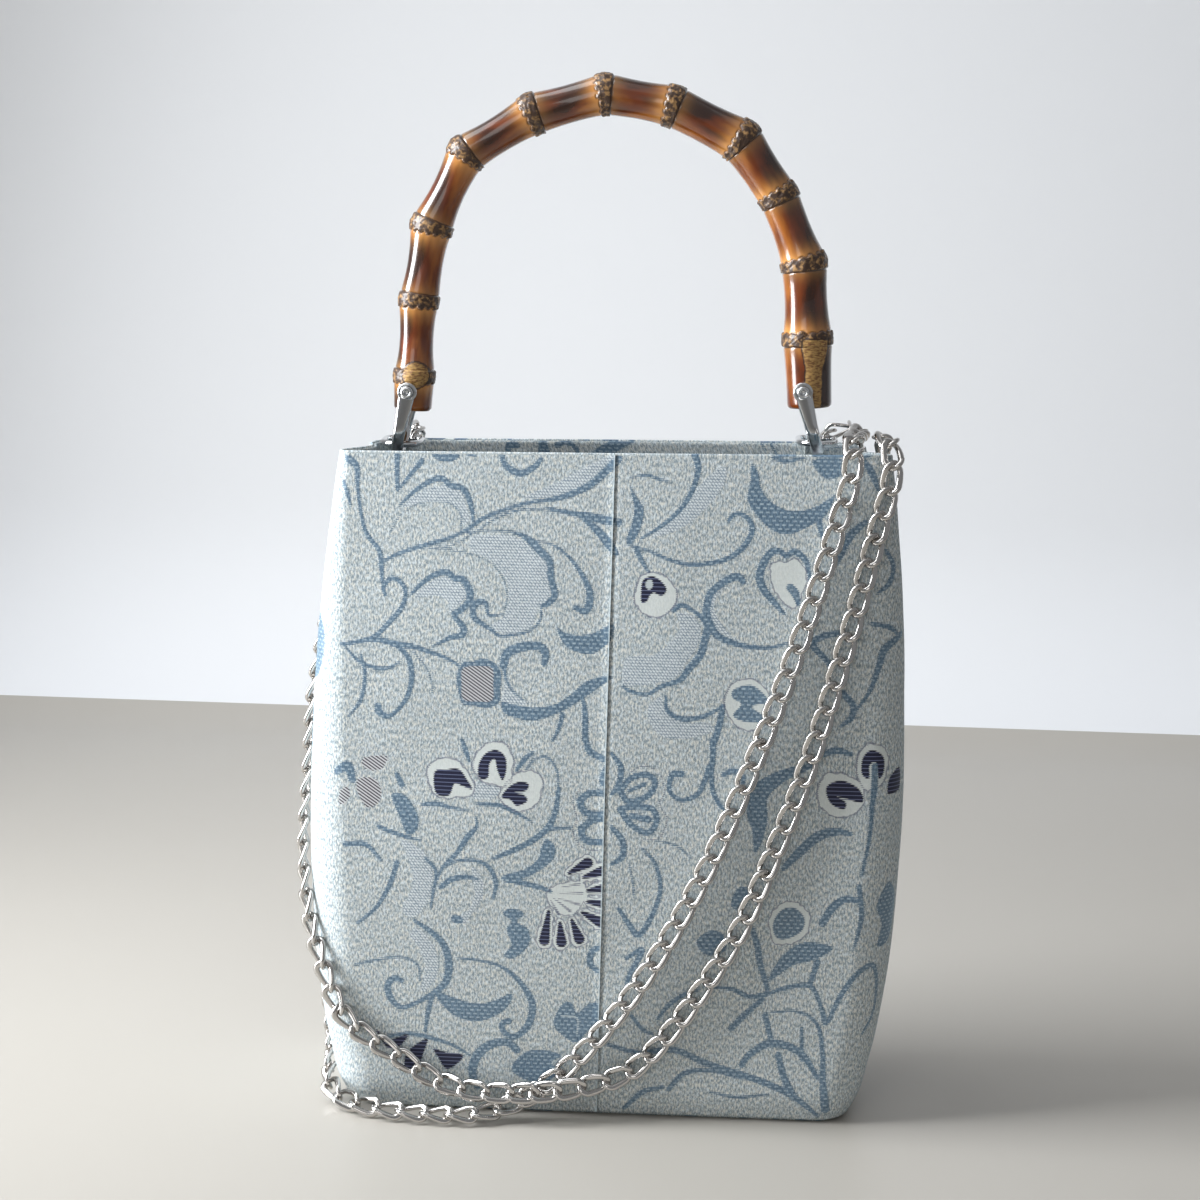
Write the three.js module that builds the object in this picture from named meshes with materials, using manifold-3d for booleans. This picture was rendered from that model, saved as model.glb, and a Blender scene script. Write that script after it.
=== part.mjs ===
// An open-topped handbag of woven brocade, with a bamboo root handle and a curb-chain strap.
// Lengths are in millimetres. +Z is up, the front panel faces -Y, and the origin is the middle
// of the base. The bag stands on its base with the handle upright and the chain wrapped round it.
import * as THREE from "three";
import { mergeVertices } from "three/addons/utils/BufferGeometryUtils.js";
import Module from "manifold-3d";

const wasm = await Module();
wasm.setup();

// Driving dimensions

const seat = 0.3; // clearance between pieces that touch

const rimHeight = 258;
const rimRise = 2.1; // how much higher the right corner of the mouth stands than its middle
const clothThickness = 1.2;
const facingThickness = 1.0;
const facingDepth = 36;
const facingSetback = 0.6; // how far the facing ends below the rim
const liningThickness = 0.8;
const basePanelThickness = 1.6;
const boardThickness = 2.0;
const boardMargin = 3.0; // from the inside of the cloth to the edge of the board

// Plan sizes of the bag from the base up to the mouth.
const sections = [
  { z: 0, halfWidth: 97.5, halfDepth: 34.5, crown: 0.4, front: 13, rear: 13, inset: 0, pinch: 0 },
  { z: 9, halfWidth: 102.0, halfDepth: 37.6, crown: 0.8, front: 15, rear: 15, inset: 0, pinch: 0 },
  { z: 24, halfWidth: 105.8, halfDepth: 38.6, crown: 1.2, front: 16, rear: 16, inset: 0, pinch: 0 },
  { z: 58, halfWidth: 111.2, halfDepth: 40.0, crown: 1.8, front: 17, rear: 17, inset: 0, pinch: 0 },
  { z: 105, halfWidth: 114.0, halfDepth: 40.3, crown: 2.2, front: 17, rear: 18, inset: 0, pinch: 0.06 },
  { z: 158, halfWidth: 113.4, halfDepth: 37.8, crown: 2.2, front: 15, rear: 18, inset: 1, pinch: 0.2 },
  { z: 212, halfWidth: 110.0, halfDepth: 32.2, crown: 1.4, front: 10, rear: 17, inset: 4, pinch: 0.6 },
  { z: 258, halfWidth: 104.4, halfDepth: 26.0, crown: 0.8, front: 4.5, rear: 16, inset: 8, pinch: 1 },
];
const pinchLeft = 4.8; // how far each side wall folds in at the mouth
const pinchRight = 11.4;

const frontSteps = 5; // facets of the plan: along a panel, round a corner, along a side
const cornerSteps = 3;
const sideSteps = 5;

const wireRadius = 1.25; // of the handle rings
const wireSides = 6;
const ringHalfWidth = 7.0; // between wire centres
const ringDepth = 15.5;
const ringCorner = 2.4;
const ringTilt = THREE.MathUtils.degToRad(3);
const barY = 15.5;
const ringLeft = { x: -84.3, z: rimHeight - 1.0 };
const ringRight = { x: 77.4, z: rimHeight + 3.8 };
const tabWidth = 5.4;
const tabCloth = 1.0;
const tabTailDrop = 24;

const shackleLength = 21.5; // from the ring wire to the screw
const shackleInnerRadius = 9.6;
const hangGap = 0.7; // between a ring's wire and the bend of its shackle
const shackleThickness = 2.6;
const shackleWidth = 4.6;
const eyeRadius = 3.75;
const eyeThickness = 2.4;
const leanLeft = THREE.MathUtils.degToRad(10.5);
const leanRight = THREE.MathUtils.degToRad(-16.5);
const hangLeft = -84.3; // where each shackle hangs on its ring
const hangRight = 76.5;
const screwRadius = 1.6;
const screwHeadRadius = 2.4;
const screwHeadHeight = 1.1;

const nodeLip = 1.6; // half length of the raised band at a bamboo node
const nodeShoulder = 4.6;

const linkWire = 1.05; // wire radius of a chain link
const linkHalfLength = 5.65; // to the wire centre
const linkHalfWidth = 3.1;
const linkTwist = THREE.MathUtils.degToRad(38);
const linkPitch = 9.6;
const pieceSlack = 0.8; // the link between two pieces of the chain hangs this much looser
const linkSides = 3;
const chainLift = 3.6; // from the cloth to the middle of the chain
const cornerLift = 4.6; // the same where the chain turns a corner

// The bamboo's nodes from the left end to the right: how far each one is above the rim, and the
// radius there and at the waist after it. The two ends are plain cuts.
const bamboo = [
  { x: -79.4, rise: 11.8, radius: 7.2, waist: 7.3, end: true },
  { x: -78.9, rise: 25.0, radius: 8.5, waist: 6.5 },
  { x: -77.5, rise: 54.0, radius: 8.0, waist: 6.5 },
  { x: -73.1, rise: 82.2, radius: 8.5, waist: 6.5 },
  { x: -60.2, rise: 109.6, radius: 8.2, waist: 6.7 },
  { x: -35.2, rise: 125.1, radius: 8.2, waist: 6.9 },
  { x: -7.9, rise: 133.2, radius: 8.2, waist: 7.2 },
  { x: 17.7, rise: 129.3, radius: 8.4, waist: 7.5 },
  { x: 43.8, rise: 117.0, radius: 8.8, waist: 7.3 },
  { x: 58.9, rise: 96.5, radius: 8.1, waist: 7.4 },
  { x: 69.5, rise: 71.6, radius: 9.3, waist: 8.0 },
  { x: 71.8, rise: 43.2, radius: 9.8, waist: 8.6 },
  { x: 73.6, rise: 17.2, radius: 8.4, end: true },
];
const bambooSides = 9;

// Materials

function paint(colour, roughness, metalness) {
  return () => new THREE.MeshStandardMaterial({ color: colour, roughness, metalness });
}
const brocade = paint(0xb0bec4, 0.75, 0.1);
const plainLining = paint(0xa9b4bb, 0.85, 0);
const boardCard = paint(0x6f6a62, 0.9, 0);
const lacquer = paint(0xa8602c, 0.25, 0);
const chrome = paint(0xd8dadc, 0.15, 1);

const bag = new THREE.Group();

function place(name, geometry, material) {
  const mesh = new THREE.Mesh(geometry, material());
  mesh.name = name;
  bag.add(mesh);
  return mesh;
}

// Solids from rows of points

function volumeOf(positions) {
  const a = new THREE.Vector3();
  const b = new THREE.Vector3();
  const c = new THREE.Vector3();
  let sum = 0;
  for (let i = 0; i < positions.length; i += 9) {
    a.fromArray(positions, i);
    b.fromArray(positions, i + 3);
    c.fromArray(positions, i + 6);
    sum += a.dot(b.cross(c));
  }
  return sum / 6;
}

function solidFrom(triangles) {
  const positions = [];
  for (const corners of triangles) {
    const [a, b, c] = corners;
    if (a.distanceTo(b) < 1e-4 || b.distanceTo(c) < 1e-4 || c.distanceTo(a) < 1e-4) continue;
    for (const corner of corners) positions.push(corner.x, corner.y, corner.z);
  }
  if (volumeOf(positions) < 0) {
    for (let i = 0; i < positions.length; i += 9) {
      for (let k = 0; k < 3; k += 1) {
        [positions[i + 3 + k], positions[i + 6 + k]] = [positions[i + 6 + k], positions[i + 3 + k]];
      }
    }
  }
  const geometry = new THREE.BufferGeometry();
  geometry.setAttribute("position", new THREE.Float32BufferAttribute(positions, 3));
  return geometry;
}

// A four-cornered facet, split along its shorter diagonal so that nested skins bend alike.
function facet(a, b, c, d) {
  if (a.distanceTo(c) <= b.distanceTo(d)) return [[a, b, c], [a, c, d]];
  return [[a, b, d], [b, c, d]];
}

// A skin over a grid of points. Each row is a closed loop, and the rows may close on each other.
function loftLoops(rows, closed) {
  const triangles = [];
  const last = closed ? rows.length : rows.length - 1;
  for (let i = 0; i < last; i += 1) {
    const here = rows[i];
    const next = rows[(i + 1) % rows.length];
    for (let j = 0; j < here.length; j += 1) {
      const k = (j + 1) % here.length;
      triangles.push(...facet(here[j], here[k], next[k], next[j]));
    }
  }
  return triangles;
}

// The flat end of a wall whose loop runs up its outside and back down its inside.
function wallEnd(loop, atStart) {
  const triangles = [];
  const levels = loop.length / 2;
  for (let k = 0; k < levels - 1; k += 1) {
    const outerLow = loop[k];
    const outerHigh = loop[k + 1];
    const innerLow = loop[loop.length - 1 - k];
    const innerHigh = loop[loop.length - 2 - k];
    if (atStart) triangles.push([outerLow, innerHigh, outerHigh], [outerLow, innerLow, innerHigh]);
    else triangles.push([outerLow, outerHigh, innerHigh], [outerLow, innerHigh, innerLow]);
  }
  return triangles;
}

function fanEnd(loop, atStart) {
  const middle = new THREE.Vector3();
  for (const point of loop) middle.addScaledVector(point, 1 / loop.length);
  return loop.map((point, j) => {
    const next = loop[(j + 1) % loop.length];
    return atStart ? [middle, next, point] : [middle, point, next];
  });
}

function loftSolid(rows) {
  const first = rows[0];
  const last = rows[rows.length - 1];
  return solidFrom([...loftLoops(rows, false), ...fanEnd(first, true), ...fanEnd(last, false)]);
}

// Joins and cuts

function manifoldFrom(geometry) {
  const bare = new THREE.BufferGeometry();
  bare.setAttribute("position", geometry.getAttribute("position").clone());
  if (geometry.index) bare.setIndex(geometry.index.clone());
  const merged = mergeVertices(bare, 1e-4);
  return new wasm.Manifold(
    new wasm.Mesh({
      numProp: 3,
      vertProperties: new Float32Array(merged.getAttribute("position").array),
      triVerts: new Uint32Array(merged.index.array),
    }),
  );
}

function geometryFrom(solid) {
  const mesh = solid.getMesh();
  const positions = [];
  for (const corner of mesh.triVerts) {
    for (let k = 0; k < 3; k += 1) positions.push(mesh.vertProperties[corner * mesh.numProp + k]);
  }
  const geometry = new THREE.BufferGeometry();
  geometry.setAttribute("position", new THREE.Float32BufferAttribute(positions, 3));
  return geometry;
}

function rodAlongY(radius, from, to, x, z, sides = 10) {
  const geometry = new THREE.CylinderGeometry(radius, radius, to - from, sides);
  geometry.translate(0, (from + to) / 2, 0);
  return geometry.translate(x, 0, z);
}

// The bag's plan at a height

const stretch = rimHeight / sections[sections.length - 1].z;
const knots = sections.map((section) => section.z * stretch);

function sizeAt(z, key) {
  const height = THREE.MathUtils.clamp(z, 0, rimHeight);
  const high = Math.max(knots.findIndex((knot) => knot >= height), 1);
  const t = (height - knots[high - 1]) / (knots[high] - knots[high - 1]);
  return THREE.MathUtils.lerp(sections[high - 1][key], sections[high][key], t);
}

function rimAt(x) {
  return rimHeight + (rimRise * x) / sizeAt(rimHeight, "halfWidth");
}

// Half of the plan outline, from the middle of the front round one side to the middle of the back.
// edge is how far the first and last points stay from the seam.
function halfOutline(side, z, edge) {
  const halfWidth = sizeAt(z, "halfWidth");
  const halfDepth = sizeAt(z, "halfDepth");
  const crown = sizeAt(z, "crown");
  const front = sizeAt(z, "front");
  const rear = sizeAt(z, "rear");
  const rearWidth = halfWidth - sizeAt(z, "inset");
  const pinch = sizeAt(z, "pinch") * (side < 0 ? pinchLeft : pinchRight);
  const points = [];
  const bow = (x, width) => crown * (1 - (x / width) ** 2);
  for (let i = 0; i <= frontSteps; i += 1) {
    const x = THREE.MathUtils.lerp(edge, halfWidth - front, i / frontSteps);
    points.push([x, -halfDepth - bow(x, halfWidth - front)]);
  }
  for (let i = 1; i <= cornerSteps; i += 1) {
    const angle = (i / cornerSteps - 1) * (Math.PI / 2);
    points.push([
      halfWidth - front + front * Math.cos(angle),
      -halfDepth + front + front * Math.sin(angle),
    ]);
  }
  for (let i = 1; i < sideSteps; i += 1) {
    const t = i / sideSteps;
    const x = THREE.MathUtils.lerp(halfWidth, rearWidth, t) - pinch * Math.sin(Math.PI * t) ** 2;
    points.push([x, THREE.MathUtils.lerp(front - halfDepth, halfDepth - rear, t)]);
  }
  for (let i = 0; i <= cornerSteps; i += 1) {
    const angle = (i / cornerSteps) * (Math.PI / 2);
    points.push([
      rearWidth - rear + rear * Math.cos(angle),
      halfDepth - rear + rear * Math.sin(angle),
    ]);
  }
  for (let i = 1; i <= frontSteps; i += 1) {
    const x = THREE.MathUtils.lerp(rearWidth - rear, edge, i / frontSteps);
    points.push([x, halfDepth + bow(x, rearWidth - rear)]);
  }
  return points.map(([x, y]) => new THREE.Vector2(side * x, y));
}

function pushedIn(points, depth, side) {
  return points.map((point, i) => {
    const before = points[Math.max(i - 1, 0)];
    const after = points[Math.min(i + 1, points.length - 1)];
    const along = after.clone().sub(before).normalize();
    const inward = new THREE.Vector2(-along.y, along.x).multiplyScalar(side);
    if (i === 0) inward.set(0, 1);
    if (i === points.length - 1) inward.set(0, -1);
    return point.clone().addScaledVector(inward, depth);
  });
}

function halfRow(side, z, depth, edge) {
  const outline = pushedIn(halfOutline(side, z, edge), depth, side);
  return outline.map((point) => new THREE.Vector3(point.x, point.y, z * (rimAt(point.x) / rimHeight)));
}

// The whole plan as one loop, counter-clockwise from the middle of the front.
function wholeRow(z, depth) {
  const right = halfRow(1, z, depth, 0);
  const left = halfRow(-1, z, depth, 0);
  return [...right, ...left.reverse().slice(1, -1)];
}

function columns(levels) {
  return levels[0].map((_, i) => levels.map((level) => level[i]));
}

// Soft pieces

const wallFoot = 1.2; // where the walls end, just above the floor
const wallLevels = [wallFoot, ...knots.slice(1)];

function outerHalf(side) {
  const edge = seat / 2;
  const outer = wallLevels.map((z) => halfRow(side, z, 0, edge));
  const inner = wallLevels.map((z) => halfRow(side, z, clothThickness, edge)).reverse();
  const loops = columns([...outer, ...inner]);
  return solidFrom([
    ...loftLoops(loops, false),
    ...wallEnd(loops[0], true),
    ...wallEnd(loops[loops.length - 1], false),
  ]);
}

const facingDepthIn = clothThickness + seat;
const facingFoot = rimHeight - facingDepth;

function mouthFacing() {
  const levels = [facingFoot, rimHeight - facingSetback];
  const outer = levels.map((z) => wholeRow(z, facingDepthIn));
  const inner = levels.map((z) => wholeRow(z, facingDepthIn + facingThickness)).reverse();
  return solidFrom(loftLoops(columns([...outer, ...inner]), true));
}

const boardTop = basePanelThickness + seat + boardThickness;

function lining() {
  const floor = boardTop + seat;
  const top = facingFoot - seat;
  const levels = [floor, ...knots.filter((z) => z > floor + liningThickness && z < top), top];
  const outerRows = levels.map((z) => wholeRow(z, facingDepthIn));
  const innerRows = levels.map((z, i) => {
    const depth = facingDepthIn + liningThickness;
    return wholeRow(i === 0 ? z + liningThickness : z, depth);
  });
  const shell = [...outerRows, ...innerRows.reverse()];
  return solidFrom([
    ...loftLoops(shell, false),
    ...fanEnd(shell[0], true),
    ...fanEnd(shell[shell.length - 1], false),
  ]);
}

function plate(depthIn, from, thickness) {
  const shape = new THREE.Shape(wholeRow(0, depthIn).map((point) => new THREE.Vector2(point.x, point.y)));
  const geometry = new THREE.ExtrudeGeometry(shape, { depth: thickness, bevelEnabled: false });
  return geometry.translate(0, 0, from);
}

place("outer_left_half", outerHalf(-1), brocade);
place("outer_right_half", outerHalf(1), brocade);
place("base_panel", plate(clothThickness + seat, 0, basePanelThickness), brocade);
place("base_board", plate(clothThickness + boardMargin, basePanelThickness + seat, boardThickness), boardCard);
place("lining", lining(), plainLining);
place("mouth_facing", mouthFacing(), brocade);

// Swept wires

// An oval loop round a point, in the plane of two cross directions.
function stationLoop(centre, across, up, halfAcross, halfUp, sides, start = 0) {
  const loop = [];
  for (let j = 0; j < sides; j += 1) {
    const angle = start + (j / sides) * Math.PI * 2;
    loop.push(
      centre
        .clone()
        .addScaledVector(across, halfAcross * Math.cos(angle))
        .addScaledVector(up, halfUp * Math.sin(angle)),
    );
  }
  return loop;
}

// Handle rings: a straight bar at the back and a round front, lying nearly flat in the mouth.
function handleRing(ring) {
  const outline = new THREE.Path();
  const legEnd = ringHalfWidth - ringDepth;
  outline.moveTo(-ringHalfWidth + ringCorner, 0);
  outline.lineTo(ringHalfWidth - ringCorner, 0);
  outline.absarc(ringHalfWidth - ringCorner, -ringCorner, ringCorner, Math.PI / 2, 0, true);
  outline.lineTo(ringHalfWidth, legEnd);
  outline.absarc(0, legEnd, ringHalfWidth, 0, -Math.PI, true);
  outline.lineTo(-ringHalfWidth, -ringCorner);
  outline.absarc(-ringHalfWidth + ringCorner, -ringCorner, ringCorner, Math.PI, Math.PI / 2, true);
  const divisions = 3;
  const points = outline.getPoints(divisions);
  const path = points.filter((point, i) => i === 0 || point.distanceTo(points[i - 1]) > 0.1);
  if (path[0].distanceTo(path[path.length - 1]) < 0.1) path.pop();
  const rows = path.map((point, i) => {
    const before = path[(i + path.length - 1) % path.length];
    const after = path[(i + 1) % path.length];
    const arrive = point.clone().sub(before).normalize();
    const leave = after.clone().sub(point).normalize();
    const along = arrive.clone().add(leave).normalize();
    const widen = 1 / Math.max(along.dot(leave), 0.7);
    const across = new THREE.Vector3(-along.y, along.x, 0);
    const up = new THREE.Vector3(0, 0, 1);
    const centre = new THREE.Vector3(point.x, point.y, 0);
    return stationLoop(centre, across, up, wireRadius * widen, wireRadius, wireSides, 0);
  });
  const geometry = solidFrom(loftLoops(rows, true));
  geometry.rotateX(ringTilt);
  return geometry.translate(ring.x, barY, ring.z);
}

place("ring_left", handleRing(ringLeft), chrome);
place("ring_right", handleRing(ringRight), chrome);

// Cloth tabs: a strap goes round each ring's bar, and its tail is sewn to the facing of the back.
function insideOfBack(x, z) {
  const row = halfRow(Math.sign(x), z, facingDepthIn + facingThickness, 0);
  const from = row.findIndex((point, i) => {
    const next = row[i + 1];
    return next && point.y > 0 && Math.abs(point.x) >= Math.abs(x) && Math.abs(next.x) <= Math.abs(x);
  });
  const t = (Math.abs(x) - Math.abs(row[from].x)) / (Math.abs(row[from + 1].x) - Math.abs(row[from].x));
  return THREE.MathUtils.lerp(row[from].y, row[from + 1].y, t);
}

function ringTab(ring, towards) {
  const low = ring.x + towards * ringHalfWidth * 0.57 - (towards > 0 ? tabWidth : 0);
  const outerX = Math.sign(ring.x) * Math.max(Math.abs(low), Math.abs(low + tabWidth));
  const hole = wireRadius + seat;
  const skin = hole + tabCloth;
  const tailTop = ring.z - 8;
  const tailFoot = ring.z - tabTailDrop;
  const topY = insideOfBack(outerX, tailTop) - 1.5 * seat;
  const footY = insideOfBack(outerX, tailFoot) - 1.5 * seat;
  const shape = new THREE.Shape();
  shape.absarc(barY, ring.z, skin, Math.PI * 0.2, Math.PI * 1.42, false);
  shape.lineTo(topY - 2 * tabCloth, tailTop - 1.5);
  shape.lineTo(footY - 2 * tabCloth, tailFoot);
  shape.lineTo(footY, tailFoot);
  shape.lineTo(topY, tailTop);
  shape.closePath();
  const eye = new THREE.Path();
  eye.absarc(barY, ring.z, hole, 0, Math.PI * 2, true);
  shape.holes.push(eye);
  const geometry = new THREE.ExtrudeGeometry(shape, { depth: tabWidth, bevelEnabled: false, curveSegments: 5 });
  // The shape is drawn in Y and Z, so its first axis turns to Y, its second to Z and its depth to X.
  geometry.applyMatrix4(new THREE.Matrix4().set(0, 0, 1, low, 1, 0, 0, 0, 0, 1, 0, 0, 0, 0, 0, 1));
  return geometry;
}

place("ring_tab_left", ringTab(ringLeft, -1), brocade);
place("ring_tab_right", ringTab(ringRight, -1), brocade);

// Shackles: a U whose bend hangs in the ring, with two flat eyes that take the screw.
function hangPoint(ring, x) {
  const dropped = ringDepth * Math.sin(ringTilt);
  return new THREE.Vector3(x, barY - ringDepth * Math.cos(ringTilt), ring.z - dropped);
}

const bendCentre = shackleInnerRadius - wireRadius - hangGap;
const armMiddle = shackleInnerRadius + shackleThickness / 2;
const eyeMiddle = shackleInnerRadius + eyeThickness / 2;

function shackle(hang, lean) {
  const stations = [];
  const armTop = shackleLength - eyeRadius * 0.4;
  const armSteps = [armTop, armTop - 8];
  const bendSteps = 6;
  const widthAt = (z) => THREE.MathUtils.mapLinear(z, bendCentre, armTop, shackleWidth, eyeRadius * 1.7) / 2;
  const level = new THREE.Vector3(1, 0, 0);
  const addArm = (sign, z) => {
    const centre = new THREE.Vector3(0, sign * armMiddle, z);
    const out = new THREE.Vector3(0, sign, 0);
    stations.push(stationLoop(centre, level, out, widthAt(z), shackleThickness / 2, wireSides, 0));
  };
  for (const z of armSteps) addArm(1, z);
  for (let i = 0; i <= bendSteps; i += 1) {
    const angle = (-i / bendSteps) * Math.PI;
    const out = new THREE.Vector3(0, Math.cos(angle), Math.sin(angle));
    const centre = out.clone().multiplyScalar(armMiddle).add(new THREE.Vector3(0, 0, bendCentre));
    stations.push(stationLoop(centre, level, out, shackleWidth / 2, shackleThickness / 2, wireSides, 0));
  }
  for (const z of [...armSteps].reverse()) addArm(-1, z);
  let body = manifoldFrom(loftSolid(stations));
  for (const sign of [-1, 1]) {
    const from = sign * eyeMiddle - eyeThickness / 2;
    const disc = rodAlongY(eyeRadius, from, from + eyeThickness, 0, shackleLength, 12);
    body = body.add(manifoldFrom(disc));
  }
  const reach = eyeMiddle + eyeThickness;
  body = body.subtract(manifoldFrom(rodAlongY(screwRadius + seat, -reach, reach, 0, shackleLength)));
  const geometry = geometryFrom(body);
  geometry.rotateY(lean);
  return geometry.translate(hang.x, hang.y, hang.z);
}

function screwPoint(hang, lean) {
  return new THREE.Vector3(
    hang.x + shackleLength * Math.sin(lean),
    hang.y,
    hang.z + shackleLength * Math.cos(lean),
  );
}

// A screw with a socket head in front and a round nut behind, turned as one piece.
function screw(point) {
  const face = eyeMiddle + eyeThickness / 2 + seat;
  const profile = [
    [0, -face - screwHeadHeight],
    [screwHeadRadius * 0.8, -face - screwHeadHeight],
    [screwHeadRadius, -face - screwHeadHeight * 0.6],
    [screwHeadRadius, -face],
    [screwRadius, -face],
    [screwRadius, face],
    [screwHeadRadius, face],
    [screwHeadRadius, face + screwHeadHeight * 0.6],
    [screwHeadRadius * 0.8, face + screwHeadHeight],
    [0, face + screwHeadHeight],
  ];
  const turned = new THREE.LatheGeometry(profile.map(([r, y]) => new THREE.Vector2(r, y)), 10);
  const socket = new THREE.CylinderGeometry(screwHeadRadius * 0.5, screwHeadRadius * 0.5, 1.4, 6);
  socket.translate(0, -face - screwHeadHeight, 0);
  const geometry = geometryFrom(manifoldFrom(turned).subtract(manifoldFrom(socket)));
  return geometry.translate(point.x, point.y, point.z);
}

const hangPointLeft = hangPoint(ringLeft, hangLeft);
const hangPointRight = hangPoint(ringRight, hangRight);
const screwLeft = screwPoint(hangPointLeft, leanLeft);
const screwRight = screwPoint(hangPointRight, leanRight);

place("shackle_left", shackle(hangPointLeft, leanLeft), chrome);
place("shackle_right", shackle(hangPointRight, leanRight), chrome);
place("screw_left", screw(screwLeft), chrome);
place("screw_right", screw(screwRight), chrome);

// Bamboo handle: straight lengths that bend at raised nodes.
function bambooHandle() {
  const points = bamboo.map((node) => new THREE.Vector3(node.x, 0, rimHeight + node.rise));
  const runs = points.slice(1).map((point, i) => point.clone().sub(points[i]));
  const rows = [];
  const ring = (centre, along, radius) => {
    const across = new THREE.Vector3(0, 1, 0);
    const up = along.clone().normalize().cross(across);
    rows.push(stationLoop(centre, across, up, radius, radius, bambooSides));
  };
  bamboo.forEach((node, i) => {
    const before = runs[i - 1];
    const after = runs[i];
    if (node.end) {
      const along = after ?? before;
      const inward = (after ? 1 : -1) * 1.2;
      const unit = along.clone().normalize();
      const edge = [points[i].clone(), node.radius * 0.86];
      const wall = [points[i].clone().addScaledVector(unit, inward), node.radius];
      for (const [centre, radius] of after ? [edge, wall] : [wall, edge]) ring(centre, unit, radius);
    } else {
      const arrive = before.clone().normalize();
      const leave = after.clone().normalize();
      const middle = arrive.clone().add(leave).normalize();
      const neck = THREE.MathUtils.lerp(node.radius, bamboo[i - 1].waist, 0.75);
      const nextNeck = THREE.MathUtils.lerp(node.radius, node.waist, 0.75);
      ring(points[i].clone().addScaledVector(arrive, -nodeShoulder), arrive, neck);
      ring(points[i].clone().addScaledVector(arrive, -nodeLip), middle, node.radius);
      ring(points[i].clone().addScaledVector(leave, nodeLip), middle, node.radius);
      ring(points[i].clone().addScaledVector(leave, nodeShoulder), leave, nextNeck);
    }
    if (after) ring(points[i].clone().addScaledVector(after, 0.5), after, node.waist);
  });
  let body = manifoldFrom(loftSolid(rows));
  for (const point of [screwLeft, screwRight]) {
    body = body.subtract(manifoldFrom(rodAlongY(screwRadius + seat, -20, 20, point.x, point.z)));
  }
  return geometryFrom(body);
}

place("bamboo_handle", bambooHandle(), lacquer);

// The chain's route

function planAt(side, share, z, lift) {
  const row = halfRow(side, z, -lift, 0);
  const at = share * (row.length - 1);
  const low = Math.min(Math.floor(at), row.length - 2);
  return row[low].clone().lerp(row[low + 1], at - low);
}

function outwardAt(side, share, z) {
  const inner = planAt(side, share, z, 0);
  return planAt(side, share, z, 4).sub(inner).setZ(0).normalize();
}

// A point on the front panel, at a distance from the seam and a height.
function onFront(x, z) {
  const width = sizeAt(z * stretch, "halfWidth") - sizeAt(z * stretch, "front");
  const share = (Math.abs(x) / width) * (frontSteps / (halfOutline(1, z * stretch, 0).length - 1));
  return onWall(x < 0 ? -1 : 1, share, z);
}

// A point on the wall, by its share of the way round one side from the front seam to the back.
function onWall(side, share, z, lift = chainLift) {
  const height = z * stretch;
  return { at: planAt(side, share, height, lift), out: outwardAt(side, share, height) };
}

function loose(x, y, z, outX, outY, outZ) {
  return { at: new THREE.Vector3(x, y, z), out: new THREE.Vector3(outX, outY, outZ).normalize() };
}

// The same near the mouth, by its height above or below the rim.
function nearRim(x, y, rise, outX, outY, outZ) {
  return loose(x, y, rimHeight + rise, outX, outY, outZ);
}

// Each end link goes round a ring's bar, beside the tab. It leans back out of the ring's path.
const endShift = ringHalfWidth * 0.52;
const rightEndLink = new THREE.Vector3(0.24, 0.93, 0.28).normalize();
const leftEndLink = new THREE.Vector3(0.1, 0.875, 0.39).normalize();
const endOverlap = linkPitch / 2 - (linkHalfLength - linkWire - seat - wireRadius);

function fromBar(ring, side, direction, distance) {
  const bar = new THREE.Vector3(ring.x + side * endShift, barY, ring.z);
  return { at: bar.addScaledVector(direction, distance), out: new THREE.Vector3(1, 0, 0) };
}

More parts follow.
